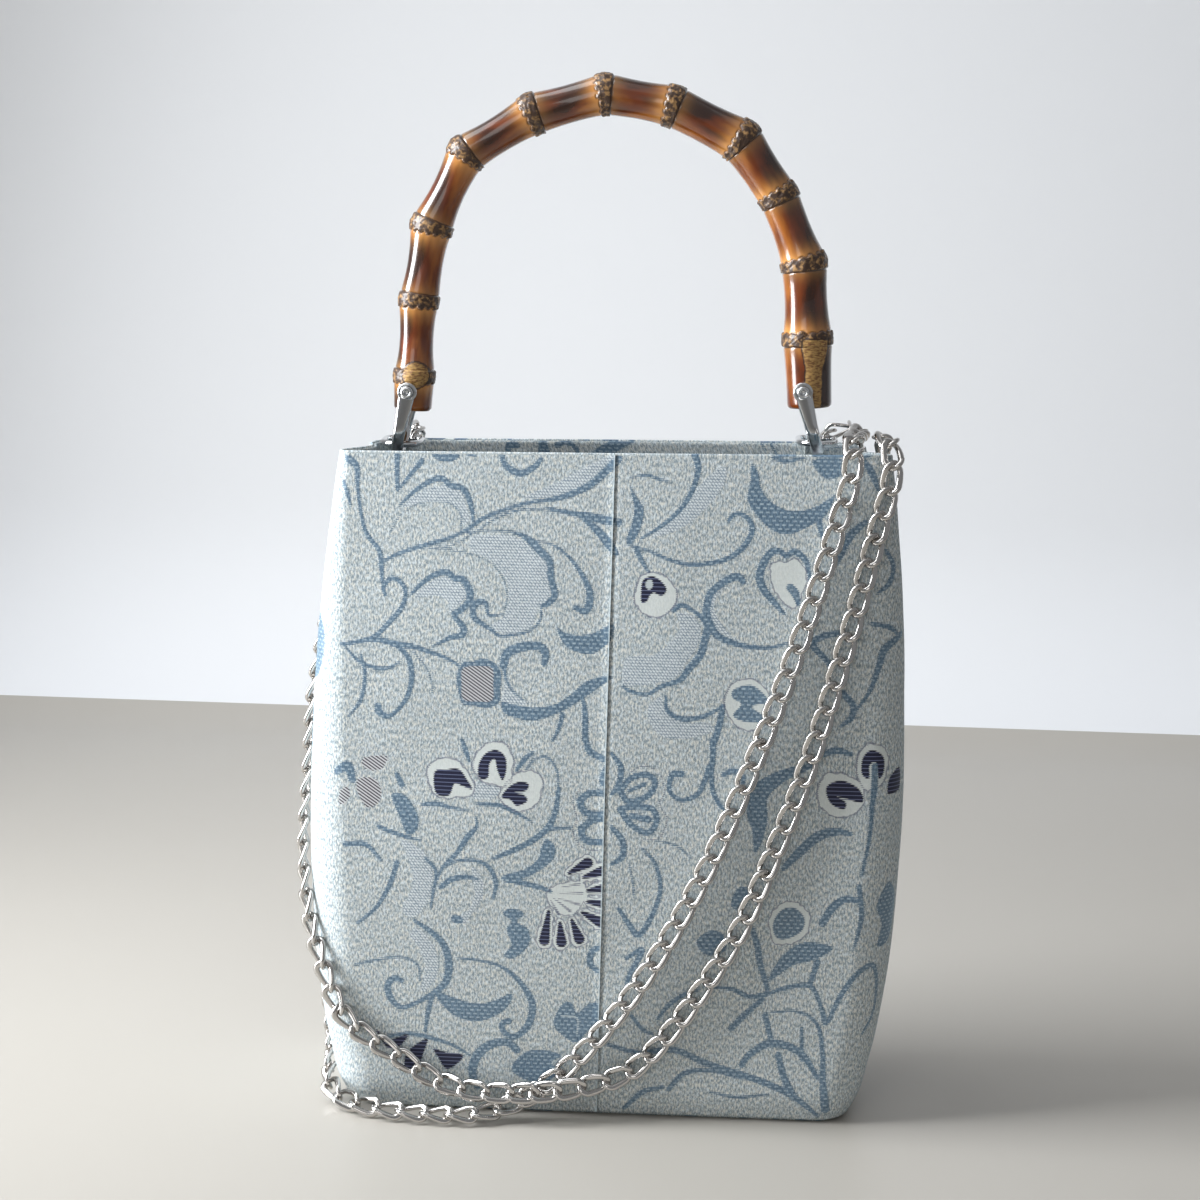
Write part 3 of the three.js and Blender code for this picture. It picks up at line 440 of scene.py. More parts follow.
# The woven figures on the front: the layer, the half that it keeps to (-1 left, 1 right, 0 both),
# the points in millimetres from the seam and up from the base, and a line's widths. A row with no
# widths is a filled figure.
FIGURES = [
    ("tint", 0, [(-52.3, 225.4), (-43.8, 226.4), (-36.1, 225.9), (-28.2, 220.8), (-23.8, 216.4), (-22.8,
     208.8), (-22.7, 202.7), (-26.8, 198.8), (-28.9, 192.5), (-35, 189.7), (-42.7, 190.2), (-44, 192.8),
     (-39.8, 196), (-38.1, 203), (-39.4, 209.8), (-44.2, 215.7), (-48.2, 217.9), (-52.9, 220)], None),
    ("blue", 0, [(-54.6, 226.8), (-48.5, 227.4), (-39.2, 227.7), (-34.6, 226.7), (-30.6, 224.5), (-26.7,
     220.8), (-23.1, 217.2), (-22.2, 211.9)], [0.6, 0.8, 1.4, 3, 3, 2.2]),
    ("blue", 0, [(-23, 212.6), (-21.7, 208.8), (-20.8, 204.3), (-23.4, 201.2), (-25.7, 200.3)], [2.2,
     2.6, 2.8, 2.2, 1.4]),
    ("blue", 0, [(-25.6, 198.8), (-25.9, 195), (-29.6, 191), (-35, 189.3), (-41.2, 188.7), (-44.3,
     190.9)], [0.9, 1, 1.2, 1.3]),
    ("blue", 0, [(-39.8, 196.8), (-45.2, 196.3), (-46.5, 200.4), (-49.2, 201.1), (-51.4, 198.7), (-50.6,
     194.9), (-47.4, 192.7), (-43.9, 190.5)], [0.8, 1.2, 2, 2.6, 2.4, 2, 1.4]),
    ("blue", 0, [(-64.4, 220.1), (-56.7, 219.5), (-49.7, 217.9), (-44.2, 215), (-40.2, 209.8), (-38.6,
     203), (-39.8, 196.8)], [0.6, 0.5, 0.5]),
    ("blue", 0, [(-86.7, 214.4), (-82.9, 216.8), (-76, 219.7), (-68.4, 222.2), (-60.7, 224.7), (-53.9,
     228.4), (-48.6, 232.3), (-41, 235.6), (-31.9, 238.6), (-24.2, 239.9), (-17.3, 241.7), (-9, 245.7),
     (-3, 251.2), (1.4, 255.9)], [1.2, 1.6, 1.8, 1.4, 1.8, 1.4, 1.5, 2.4, 3, 3]),
    ("blue", 0, [(-68.3, 220.3), (-60.6, 221.7), (-51.5, 226.9), (-44.7, 231.7), (-34.9, 235.8), (-24.9,
     236.1), (-16.3, 234.8)], [0.8, 0.7, 0.9, 0.7]),
    ("blue", 0, [(-24.9, 236.9), (-15.6, 235.3), (-8.6, 234.3), (-2.5, 233), (2.2, 232.4)], [1, 2.2,
     3.4, 3]),
    ("blue", 0, [(-11.7, 234.2), (-5.4, 229.1), (-1.4, 224.7), (1.4, 221)], [1.6, 3, 3.6, 2.4]),
    ("blue", 0, [(-29.1, 224.6), (-22.1, 223.3), (-15.8, 218.9), (-11, 213), (-7.8, 207), (-7.6, 201.7),
     (-9.1, 198.9), (-12.9, 200)], [0.8, 1, 1.2, 1.8, 2.6, 3.2, 2.5, 2]),
    ("blue", 0, [(-19.7, 193.2), (-17.3, 191), (-12.7, 190), (-6.5, 190.6), (1.1, 194.3), (1.2, 189.7),
     (-1, 186.5), (-6.3, 182.9), (-12.5, 183.8), (-16.4, 186), (-18.8, 189.8)], None),
    ("blue", 0, [(-74.8, 203.4), (-71, 207.3), (-66.5, 210.5), (-61.9, 211.8), (-58.7, 209.6), (-55.6,
     209.3), (-52.8, 204.8), (-53.1, 201), (-56.1, 197.8), (-58.7, 196.2)], [1.4, 2, 2.4, 2.4, 2.8, 3,
     2.6, 2.2]),
    ("blue", 0, [(-58.7, 195.4), (-55.1, 191.7), (-55.1, 188.6), (-59.7, 187.3), (-63.5, 185.3), (-66.5,
     183.6)], [1.6, 2.8, 2.6, 2, 1.4, 1]),
    ("tint", 0, [(-74, 202.6), (-69.4, 206.6), (-63.4, 209.8), (-56.3, 207.7), (-53.9, 203.3), (-56.9,
     199.3), (-59.9, 196.2), (-60.4, 200), (-63.9, 202.6), (-69.3, 202.2)], None),
    ("blue", 0, [(-80.4, 236), (-75.1, 241.4), (-69.1, 245.4), (-64.5, 246.7), (-61.3, 244.1), (-57.4,
     243.5), (-54.6, 240.5), (-52.9, 235.3), (-52.4, 231.5)], [1, 1.8, 2.2, 2.2, 2.2, 2.4, 2, 1.2]),
    ("tint", 0, [(-79.6, 235.2), (-73.6, 240.7), (-65.2, 244), (-57.4, 242), (-54.9, 236.7), (-53.6,
     231.4), (-56.3, 229.8), (-57.1, 233.6), (-61.1, 237.3), (-67.3, 237.9), (-73.5, 236.9)], None),
    ("blue", 0, [(-57, 228.3), (-57.1, 233.6), (-61.1, 237.3), (-67.3, 237.9), (-73.5, 236.9), (-80.3,
     232.1), (-83.9, 225.2)], [0.5, 0.5]),
    ("blue", 0, [(-81.8, 256.5), (-81.7, 249.6), (-81.3, 242)], [2.4, 2, 1.6]),
    ("blue", 0, [(-72.4, 252.9), (-76.1, 248.3), (-80.2, 242.8)], [2.2, 1.8, 1.2]),
    ("blue", 0, [(-100.2, 252.9), (-97, 249.9), (-96.4, 242.3), (-95, 233.2), (-93.2, 226.4), (-90.8,
     222.7), (-87.6, 219), (-86.6, 212.9), (-86.1, 206.8)], [3, 2.4, 1.4, 1.4, 1.6, 1.8, 1.8, 2, 1.2]),
    ("blue", 0, [(-84.8, 202.3), (-85.6, 205.3), (-82.7, 208.8), (-78.7, 207), (-77.1, 203.3), (-78.5,
     197.9), (-83, 192.3), (-88.3, 186.8), (-93.7, 184.7), (-101.4, 183.3)], [1.4, 1.8, 1.8, 1.8, 2, 2,
     1.8, 1.4]),
    ("blue", 0, [(-95.2, 184.6), (-88.3, 185.6), (-80.5, 184.3), (-73.5, 183.4), (-66.5, 181.3), (-61,
     179.6), (-56.3, 177)], [1.6, 2, 2.2, 1.8, 1.4, 1.2]),
    ("blue", 0, [(-85.9, 184.9), (-79.7, 183.2), (-75.7, 179.5), (-74, 174.1), (-74.3, 168.7), (-76.1,
     163.2), (-79.9, 158.4), (-82.9, 156.8), (-86.1, 158.2), (-86.5, 160.5)], [1.2, 1.8, 2.2, 2.2, 2,
     1.6, 1.8, 2.8, 2.8]),
    ("blue", 0, [(-73.4, 181.1), (-68.7, 175.8), (-66.2, 169.7), (-66.1, 165.9)], [0.5, 0.5]),
    ("blue", 0, [(-54.8, 178.2), (-50.9, 178.7), (-47.1, 180), (-42.4, 178.2), (-40, 174.5), (-40.2,
     169), (-40.5, 163.6), (-45.1, 161.2), (-49.7, 161.8), (-54.4, 162.4), (-56.1, 167), (-57, 172.4)],
     None),
    ("violet", 0, [(-54.7, 175.9), (-49.3, 176.9), (-43.5, 176.3), (-43, 170.5), (-43.2, 164.3), (-49,
     163.7), (-54.4, 164.3), (-55, 170.1)], None),
    ("blue", 0, [(-39.3, 177.6), (-37.9, 182.2), (-32.6, 184.7), (-26.4, 185.3), (-23.6, 182.7), (-23.9,
     178.8)], [3.2, 3.6, 3.6, 3.4, 3.2, 2.4]),
    ("blue", 0, [(-38.6, 178.4), (-38.4, 173), (-35.2, 167.7), (-31.2, 164.7)], [1.6, 0.8, 0.6]),
    ("tint", 0, [(-38.1, 173.8), (-34.4, 167.7), (-29.7, 163.2), (-38.9, 162.9), (-38.7, 169.9)], None),
    ("blue", 0, [(-39.7, 163.7), (-35.1, 163), (-27.3, 162.1), (-19.6, 163.6), (-13.6, 167.6), (-8.3,
     172.4), (-0.7, 175), (1.7, 174.3), (-1.3, 171.9), (-6.6, 167.8), (-13.4, 163), (-19.5, 159.7),
     (-27.2, 157.1), (-34.2, 158), (-38.8, 159.8)], None),
    ("blue", 0, [(-16.4, 159.8), (-17.8, 154.3), (-20, 149.8)], [2, 1.6, 1.2]),
    ("blue", 0, [(-8.9, 166.2), (-7.9, 160.1), (-7.7, 150.8)], [1.2, 2.4, 2.6]),
    ("blue", 0, [(-68.6, 256.5), (-64.8, 255.8), (-60.2, 257.1), (-58.2, 254.9), (-61.6, 252.9), (-65.4,
     253.1), (-68.2, 254.6)], None),
    ("blue", 0, [(-42.4, 256.9), (-40.8, 252.4), (-35.3, 249.5), (-30, 251.9), (-27.4, 255)], [1.8, 2.4,
     2.8, 2.2, 1.6]),
    ("blue", 0, [(-55.5, 256.5), (-52.4, 255.7)], [2, 1.6]),
    ("tint", 0, [(-33.5, 240.4), (-22.1, 246.1), (-10.8, 252.5), (-0.2, 257.4), (-4.5, 249.6), (-10.5,
     244.1), (-19.6, 241.6)], None),
    ("blue", 0, [(-101.9, 244.4), (-100.2, 239.9), (-98.9, 235.4)], [1.4, 1.6, 0.8]),
    ("blue", 0, [(-99.8, 182.5), (-94.3, 177.3), (-87.2, 174.8), (-81.8, 175.4), (-78.4, 177.8)], [0.8,
     1.4, 1.6, 1.4, 0.8]),
    ("blue", 0, [(-93.6, 179.7), (-91.8, 172), (-93.2, 162.6), (-97.7, 156.3)], [1, 1.6, 1.6, 1]),
    ("blue", 0, [(29.3, 259.8), (31.4, 253.7), (30.1, 246.9), (27.2, 240.7), (22.8, 235.3), (16.8,
     230.5), (10.8, 226.6)], [3, 2.4, 2, 2, 1.8, 1.4, 1]),
    ("tint", 0, [(42.1, 254.1), (40.8, 246.4), (35, 238.7), (26, 230.8), (14.6, 227.4), (20.6, 232.2),
     (27.3, 239.2), (31.7, 246.2), (37.6, 252.4)], None),
    ("blue", 0, [(51.3, 255.5), (54, 252.1), (55.4, 246.1), (60.1, 241), (67.1, 238.5), (74.7, 239.9),
     (81.4, 243.9), (83.6, 246.2), (80.1, 237.8), (74.9, 233.8), (68.9, 230.6), (64.3, 229.7), (58.9,
     231.8), (53.4, 237), (50.2, 242.2), (51.1, 249)], None),
    ("blue", 0, [(77.1, 236.2), (78, 231.7), (79.3, 227.1)], [2.2, 2, 1]),
    ("blue", 0, [(6.3, 224.1), (14, 222.1), (21, 219.3), (28.7, 217.6), (37.2, 218.3), (44.7, 220.8),
     (49.9, 225.5), (52.4, 230.9), (51.2, 234.6), (48, 236.8), (45, 236.3), (43.5, 234.4)], [1, 1.2,
     1.4, 1.6, 1.8, 2, 2.3, 2.3, 2, 1.8, 1.7, 1.6]),
    ("blue", 1, [(6, 245.8), (9.2, 241.3), (11.6, 237.2), (10.3, 229.6), (7, 224.2), (5.1, 225.6), (6.8,
     231), (7.8, 237.9)], None),
    ("blue", 0, [(6.2, 249.2), (12.4, 250.1), (17, 248.8), (21.6, 247.8)], [0.8, 1.2, 1.4, 0.6]),
    ("blue", 0, [(9.4, 222), (11.9, 217.5), (14.3, 214.1)], [2.2, 1.8, 1]),
    ("navy", 0, [(11.7, 210.6), (13.2, 212.2), (15.9, 212.7), (19, 210.9), (21, 207.9), (19.2, 205.6),
     (16.2, 206.6), (14.6, 205.3), (13.7, 203.3), (11.6, 203), (11.4, 206.8)], None),
    ("pale2", 0, [(13.2, 210.7), (15.1, 211.5), (15.8, 209.2), (14.5, 207.7), (13.1, 208.8)], None),
    ("blue", 0, [(23.9, 200.4), (26.9, 202.4), (30.8, 200.6), (34.8, 197.7), (36.8, 194.7), (35.8,
     189.3), (34.4, 183.8), (30, 178.3), (27.1, 174.4), (20.2, 171.8), (14.9, 168.6), (8.7, 169.5),
     (5.6, 171.3)], [2, 2, 1.4, 2.4, 3, 3, 2.8, 2.4, 1.8, 1.4, 1.6, 1.2]),
    ("tint", 0, [(25.5, 198.9), (30.1, 199.1), (34.1, 194.6), (33.5, 187.7), (29.2, 180.6), (25.5,
     175.1), (16.3, 172.5), (7.1, 171.4), (5.5, 173.6), (6.8, 182.2), (16, 183.2), (22, 187.3), (26.4,
     193.6)], None),
    ("blue", 0, [(49.6, 211.8), (48, 213.4), (45, 213), (40.5, 210), (37.5, 206.9), (36.2, 201.5),
     (37.1, 197), (40.3, 191.7), (46.5, 188.8), (53.5, 187.5), (60.4, 187.4), (67.2, 189.5)], [2.4, 2.8,
     3, 2.8, 2.8, 3, 3, 2.8, 2.2, 1.8, 1.4, 1]),
    ("tint", 0, [(45.1, 210.9), (40.6, 207), (39.2, 201.6), (41.7, 196.4), (46.5, 191.1), (51.9, 189),
     (42.6, 191.8), (37.8, 198.5), (38.3, 206.2)], None),
    ("blue", 0, [(65.3, 200.2), (61.3, 204.6), (57.4, 209), (55.7, 214.3), (57.8, 220.4), (60.7, 223.5),
     (63.8, 222.9), (65.4, 221.4)], [1.4, 2.4, 3, 3.2, 3, 2.8, 2.2, 1.8]),
    ("blue", 0, [(65.4, 221.4), (68.4, 223.4), (72.3, 220.9), (73.9, 217.1), (74.5, 212.6)], [1.8, 2.6,
     2.4, 1.8, 1.2]),
    ("pale", 0, [(59.4, 216.7), (62.4, 219.8), (65.4, 219.1), (68.5, 220.8), (72.4, 217.8), (73.3,
     213.3), (71.9, 208), (69.8, 202.6), (66.7, 203.3), (62, 207.7)], None),
    ("blue2", 0, [(67.3, 210.1), (69.3, 207.9), (70.5, 204.1)], [3, 3.2, 1.6]),
    ("blue", 0, [(47.1, 171.2), (53.2, 173.3), (57.9, 170.8), (60.3, 167), (54.3, 165.2), (59, 161.6),
     (56.8, 159.2), (50.6, 159.7), (47.4, 161.9), (50.4, 165.9), (47.2, 168.1)], None),
    ("blue", 0, [(21.9, 168), (22.8, 162.7), (28.3, 159.8), (36, 160.8), (43.5, 164.9)], [1.2, 1.8, 2,
     1.8, 1.2]),
    ("blue", 0, [(43.5, 164.9), (42.6, 158.7), (40.9, 151.8)], [2, 2.6, 2.6]),
    ("tint", 0, [(15.1, 162.4), (20.3, 168), (22.8, 161.9), (29.9, 158.3), (37.6, 158.5), (40.7, 155.5),
     (28.5, 152), (19.2, 154)], None),
    ("blue", 0, [(74.1, 257.3), (79.4, 258.6), (84.8, 258.3), (85.7, 253.1), (80.4, 250.6), (76.6,
     252.8)], None),
    ("blue", 0, [(57.2, 259.4), (63.4, 257), (71, 258.3)], [1.2, 1.8, 1]),
    ("blue", 0, [(94.7, 235.2), (89.5, 230.5), (85.9, 223.6), (83.8, 218.2)], [2, 3.2, 3, 1.6]),
    ("blue", 0, [(87.7, 194), (80.1, 192.2), (76.4, 189), (82, 183.1), (83.7, 178.5)], [2, 2.6, 2.6,
     2.2, 1.2]),
    ("blue", 0, [(88.5, 171), (92.5, 166.5), (91.9, 161.9), (88.2, 158.7)], [2.6, 2.6, 2.4, 1.4]),
    ("blue", 0, [(112.3, 193.2), (104.1, 188.4), (101.9, 182.2), (98.5, 172.1), (93.4, 164.3)], [2.4,
     3.2, 2.6, 1.6, 1]),
    ("blue", 0, [(98.3, 197.4), (105.4, 196.1), (110.8, 192.4)], [1.6, 2, 1.4]),
    ("blue", 0, [(102.7, 224.8), (106.4, 218.9), (104.8, 212.8), (100.2, 208.9)], [1.4, 2.4, 2.2, 1]),
    ("blue", 0, [(92.3, 259.3), (96.4, 253.4), (98.9, 247.4)], [1.6, 3, 1.4]),
    ("navy", 0, [(-64.5, 136.1), (-60.1, 137.3), (-55.1, 137.5), (-52, 133.6), (-49.9, 130.1), (-54,
     131.3), (-56.8, 131.9), (-58.9, 127.3), (-63.9, 128.1)], None),
    ("navy", 0, [(-47.6, 134.7), (-47.7, 139.8), (-45.3, 143.9), (-41.3, 145.5), (-37.8, 143.1), (-37.2,
     138.1), (-38.6, 134), (-40.7, 138), (-41.7, 142), (-43.7, 139.9), (-44.1, 134.8)], None),
    ("navy", 0, [(-38.9, 127.5), (-36, 131.6), (-32.1, 133.7), (-28.6, 132.9), (-29.6, 130.3), (-33.8,
     129.6), (-30, 128.5), (-29, 126.3), (-32.9, 124.4), (-35.4, 126.6)], None),
    ("tint", 0, [(-50, 130.6), (-43.1, 133.9), (-39, 130), (-41.9, 126.8), (-47.9, 126.1), (-50.9,
     128)], None),
    ("blue", 0, [(-68.8, 123.4), (-63.8, 124), (-57.8, 122.7), (-51.8, 121.9)], [1.4, 2, 1.4, 1]),
    ("blue", 0, [(-47.8, 124.6), (-39.9, 124.4), (-33.8, 122.1), (-26.8, 118.3)], [1.4, 1.8, 1.8, 0.8]),
    ("blue", 0, [(-48.2, 119.5), (-48.1, 115.5), (-51.6, 111.3), (-55.4, 105.1), (-60.3, 99.8), (-62.7,
     94.5)], [0.8, 1.4, 2.6, 1.8, 1.4, 1]),
    ("blue", 0, [(-54.3, 148.6), (-52.7, 144.6), (-51.2, 140.6)], [1.6, 2.2, 1]),
    ("blue", 0, [(-33.2, 138.2), (-30.3, 142.4), (-27.4, 145)], [1.4, 2.2, 1.4]),
    ("blue", 0, [(-17.2, 131.8), (-18, 123.6), (-20.8, 116.5), (-26.6, 111.2), (-34.5, 106.8), (-41.4,
     103.5)], [1.6, 2.2, 2.6, 2.4, 2.2, 1.4]),
    ("blue", 0, [(-20.8, 116), (-11.8, 116.8)], [1.8, 1.2]),
    ("blue", 0, [(-21.2, 111.9), (-18.1, 109.5), (-18.5, 104.4), (-24.3, 99.1), (-31.3, 95.7), (-38.2,
     95.4), (-36.3, 97.6), (-29.3, 99.9), (-24.4, 104.2), (-23.1, 109.3)], None),
    ("blue", 0, [(-36.2, 95.5), (-29.2, 94.2), (-23.2, 92.9), (-19.2, 91.5)], [2.2, 2.2, 2, 1.4]),
    ("blue", 0, [(-29.7, 138.4), (-26.4, 142.5), (-21.4, 143.2), (-17.8, 137.8), (-17.2, 131.8)], [1, 1,
     0.8]),
    ("pale", -1, [(-19.2, 93.1), (-13.3, 95.3), (-7.3, 95.6), (-5.2, 90.5), (-8, 85.2), (-13, 81.9),
     (-18, 84.8), (-20.6, 88.9)], None),
    ("blue", 0, [(-37.5, 82), (-34, 84.2), (-29, 82.3), (-31.9, 79.1), (-27.4, 76.1), (-27.2, 69.9),
     (-32.6, 64.4), (-36.7, 65.3), (-33.8, 69.6), (-35.9, 75.8), (-33.9, 79)], None),
    ("blue", 0, [(-59.3, 99.8), (-55.4, 102), (-49.4, 102.7), (-43.3, 100.4), (-40.2, 94.3), (-41.1,
     88.1)], [1, 1.2, 1.4, 1.8, 2, 1.2]),
    ("tint", 0, [(-49.3, 100.2), (-45.2, 95.2), (-45.1, 87.9), (-49, 81.6), (-52, 77.3), (-55, 78.2),
     (-50.1, 83.6), (-48.2, 89.9), (-49.3, 96.1)], None),
    ("blue", 0, [(-55.5, 79.2), (-54, 78.8)], [3.4, 3]),
    ("blue", 0, [(-61.2, 91.5), (-57.2, 94.7), (-51.3, 96), (-47.2, 95.1)], [2, 2.4, 2, 1]),
    ("blue", 0, [(-54.8, 63.6), (-46.7, 62.9), (-38.6, 61.1), (-32.5, 57.1), (-27.4, 50.9), (-25.2,
     44.6), (-27.1, 36.9), (-32.1, 32.4), (-36.2, 34.4), (-36.8, 37.6), (-34.3, 38.8)], [1, 1.2, 1.4, 2,
     2.8, 3, 2.6, 2.2, 2.4, 2.6]),
    ("blue", 0, [(-71.1, 77.6), (-65, 73.7), (-59.9, 68.6), (-57.8, 61.4), (-58.7, 54), (-62.7, 49.5),
     (-69.7, 44.9), (-75.8, 42.5), (-79.9, 45.6), (-81.4, 50.9), (-78.9, 54.2), (-75.8, 53.3)], [1.4,
     2.2, 2.8, 3.2, 3, 2.4, 1.8, 2, 2.6, 2.8, 2.4, 2]),
    ("tint", 0, [(-69, 74.5), (-62.9, 66.4), (-61.7, 58.1), (-64.7, 51.6), (-68.7, 49.3), (-66.8, 57.9),
     (-68.9, 66.2), (-73, 72.3)], None),
    ("blue", 0, [(-94.1, 58.9), (-85, 61.4), (-75.9, 62.8), (-69.8, 59.9), (-68.8, 53.6)], [1, 1.2, 1,
     0.8]),
    ("blue", 0, [(-63.7, 48.4), (-65.7, 40.8), (-66.6, 33.1)], [1.8, 2, 1.4]),
    ("blue", 0, [(-62.7, 49.5), (-54.6, 47.1), (-46.5, 45.3), (-39.4, 47.2), (-33.4, 50.1), (-34.3,
     45.3), (-39.3, 40.8), (-46.4, 38.1), (-54.5, 39.6), (-60.6, 44.7)], None),
    ("navy", 0, [(-85.9, 32.9), (-80.3, 29.3), (-73.2, 31.8), (-76.8, 26.2), (-81.8, 26)], None),
    ("navy", 0, [(-74.7, 18.6), (-73.7, 24.2), (-68.6, 28.7), (-65.6, 29.9), (-67.1, 24.4), (-69.6,
     17.2), (-72.7, 16.5)], None),
    ("navy", 0, [(-63.5, 26.2), (-58.4, 24.8), (-51.8, 24), (-54.3, 20.1), (-58.4, 18), (-61.5, 22.5)],
     None),
    ("blue", 0, [(-80.8, 30.4), (-72.7, 31.8), (-64.6, 30.5), (-56.4, 28.1), (-49.3, 24.1)], [1.4, 1.8,
     1.8, 1.4, 1]),
    ("blue", 0, [(-31, 27), (-35.1, 30.1), (-41.2, 28.8), (-46.2, 24.2), (-48.2, 17.5), (-46.1, 10.9)],
     [3, 3, 3.6, 3.8, 3.4, 2.4]),
    ("blue", -1, [(-17.1, 38.4), (-14.2, 46.1), (-10.2, 47.3), (-8.1, 43.1), (-3.1, 47.6), (1.4, 46.7),
     (2.1, 39.2), (-2.9, 36.8), (-7.8, 31.2), (-12.9, 33.2)], None),
    ("pale2", -1, [(-14.1, 41.8), (-8, 40.9), (-7.9, 34.5)], [0.6, 0.5]),
    ("blue", 0, [(-33, 19.3), (-28, 26), (-20.9, 27.4), (-13.8, 25.5), (-17.8, 22.1), (-14.7, 18.9),
     (-19.7, 14.3), (-27.8, 15)], None),
    ("blue", -1, [(2.3, 71), (-2.6, 68.7), (-3.5, 63.5), (0.1, 60)], [1.6, 2.6, 2.6, 1.6]),
    ("blue", 0, [(-80.8, 126.5), (-75.8, 126.7), (-70.7, 119.7), (-70.6, 113.7), (-74.5, 111.5), (-77.7,
     118.5)], None),
    ("blue", 0, [(-78.9, 134.6), (-76.9, 130.7)], [2, 2.4]),
    ("blue", 0, [(-85.6, 114.1), (-80.6, 112.3), (-74.5, 110.5), (-69.5, 109.6)], [1.6, 1.8, 1.6, 1]),
    ("violet", 0, [(-92, 140.2), (-83, 141.6), (-84.9, 136.4), (-90.9, 136.2)], None),
    ("violet", 0, [(-93.9, 132.1), (-86.9, 132.3), (-84.8, 125.3), (-89.7, 121.1), (-93.8, 127)], None),
    ("violet", 0, [(-100.8, 126.8), (-97.8, 128.9), (-96.8, 124.9), (-100.7, 121.7)], None),
    ("blue", 0, [(-101.9, 134.8), (-97.9, 137), (-95.9, 132)], [3, 4, 3]),
    ("blue", 0, [(-78.3, 100.2), (-81.3, 90.7), (-86.2, 82.2), (-93.2, 75.7)], [2.2, 2, 1.6, 1.4]),
    ("blue", 0, [(-98.5, 106.6), (-90.5, 106.9), (-84.4, 101)], [2, 2, 1.2]),
    ("blue", 0, [(-67.4, 102.6), (-63.3, 97.6), (-64.2, 89.3), (-65.1, 83)], [1.2, 1.6, 1.4, 1]),
    ("tint", 0, [(-76.5, 109.4), (-67.4, 104.6), (-64.3, 95.5), (-66.1, 85.1), (-72.1, 78.6), (-76.1,
     82.6), (-72.2, 91.1), (-73.3, 100.3)], None),
    ("blue", 1, [(5.7, 131.6), (10, 136.7), (15.9, 138), (19, 135), (16.1, 129.9), (9.3, 127.6), (5.7,
     131.6)], [2.4, 2.4]),
    ("blue", 1, [(9.2, 131.7), (15, 134.4)], [1.4, 1.8]),
    ("blue", 1, [(5.9, 124.5), (11.3, 125.7), (18.3, 124.9), (19.9, 120), (16.6, 115.8), (10.5, 118.6),
     (5.9, 124.5)], [2.4, 2.4]),
    ("blue", 1, [(10.4, 122.1), (16.9, 120.9)], [2.2, 2.8]),
    ("blue", 1, [(3.1, 117.3), (7.2, 112.4), (7.4, 106.3), (3.5, 103.2)], [2, 2.6, 2.6, 1.6]),
    ("blue", 1, [(2.3, 145.5), (5.9, 140.6), (5.1, 133.5), (2.8, 130.4)], [1.6, 2.4, 2.4, 1.6]),
    ("blue", -1, [(-8.9, 127.5), (-5.2, 130.2), (1.2, 129.9), (1.4, 123.3), (-4, 122.1), (-7.8, 123.8),
     (-8.9, 127.5)], [2.8, 2.8]),
    ("blue", -1, [(-8.3, 116.4), (-3.5, 120.1), (1.5, 119.8), (1.7, 112.7), (-3.7, 111.5), (-7.2,
     112.9), (-8.3, 116.4)], [2.8, 2.8]),
    ("edge", -1, [(-9.2, 132), (-11.6, 126.9), (-9.9, 119.9), (-11.3, 114.8), (-7.6, 109.3), (-1.6,
     108)], [0.3, 0.3]),
    ("blue", -1, [(-7.2, 150.2), (-5.7, 146.2), (0.9, 143)], [2, 2.8, 2.4]),
    ("blue", -1, [(0.4, 141.4), (-0.9, 135.3), (1.2, 132.4)], [1.6, 2.2, 1.4]),
    ("edge", 1, [(9, 138.7), (14.8, 141.4), (20.8, 138.1), (22.5, 131.1), (20.7, 127), (23.8, 121.1),
     (21.1, 113.9), (13.7, 112.6)], [0.3, 0.3]),
    ("blue", 0, [(28.7, 138.9), (25.3, 138.3), (24.5, 132.2), (29.1, 128.9), (34.9, 131.1), (37.7,
     136.7), (39, 141.8)], [2.8, 2.4, 1.8, 1.8, 2, 2.2, 2]),
    ("blue", 0, [(40.2, 151.8), (40.4, 145.8), (40.1, 139.8), (40.8, 132.8), (44, 126.9), (47, 125.5)],
     [2.6, 2.4, 2, 2, 1.8, 1.2]),
    ("blue", 0, [(44.5, 139), (48.4, 140.6), (52, 138.2), (51.6, 133.2)], [2, 2.4, 2, 1.2]),
    ("blue", 0, [(55.6, 134.3), (62.3, 139.6), (71, 142.9), (79.8, 144.2), (73.1, 139.9), (67.3, 136.7),
     (61.6, 130.5), (61.9, 122.5), (60.2, 114.3), (57.4, 109.2), (56.1, 118.2), (53.9, 124.2)], None),
    ("blue", 0, [(68.5, 103.5), (74.2, 109.8), (80.9, 116.1), (87.7, 118.3), (93.7, 117.5)], [2, 3.8, 4,
     3.2, 1.6]),
    ("blue", 0, [(81.7, 147.3), (86.5, 149.4), (92.4, 148.1)], [1.6, 3, 1.8]),
    ("blue", 0, [(14.8, 109.6), (19.9, 103.8), (22.2, 94.6), (20, 85.2), (14.7, 75.7), (10.6, 79.7),
     (6.5, 85.7)], [1, 1.6, 1.8, 2, 2.6, 2.2, 1.6]),
    ("blue", 0, [(10, 103.4), (11.7, 96.3), (12.3, 90.1)], [0.6, 0.8, 0.5]),
    ("blue", 0, [(19.6, 112.9), (27.6, 111.1), (33.7, 106.3)], [0.7, 1, 0.8]),
    ("pale", 0, [(63.9, 82.7), (67.1, 89.1), (74, 90.4), (79.2, 85.4), (78.5, 78.1), (71.7, 73.7),
     (65.7, 74.5)], None),
    ("blue", 0, [(65.4, 81.8), (68.2, 87), (73.1, 88.3), (77.2, 84.3), (76.4, 79.1), (70.6, 75.7),
     (66.6, 76.6)], None),
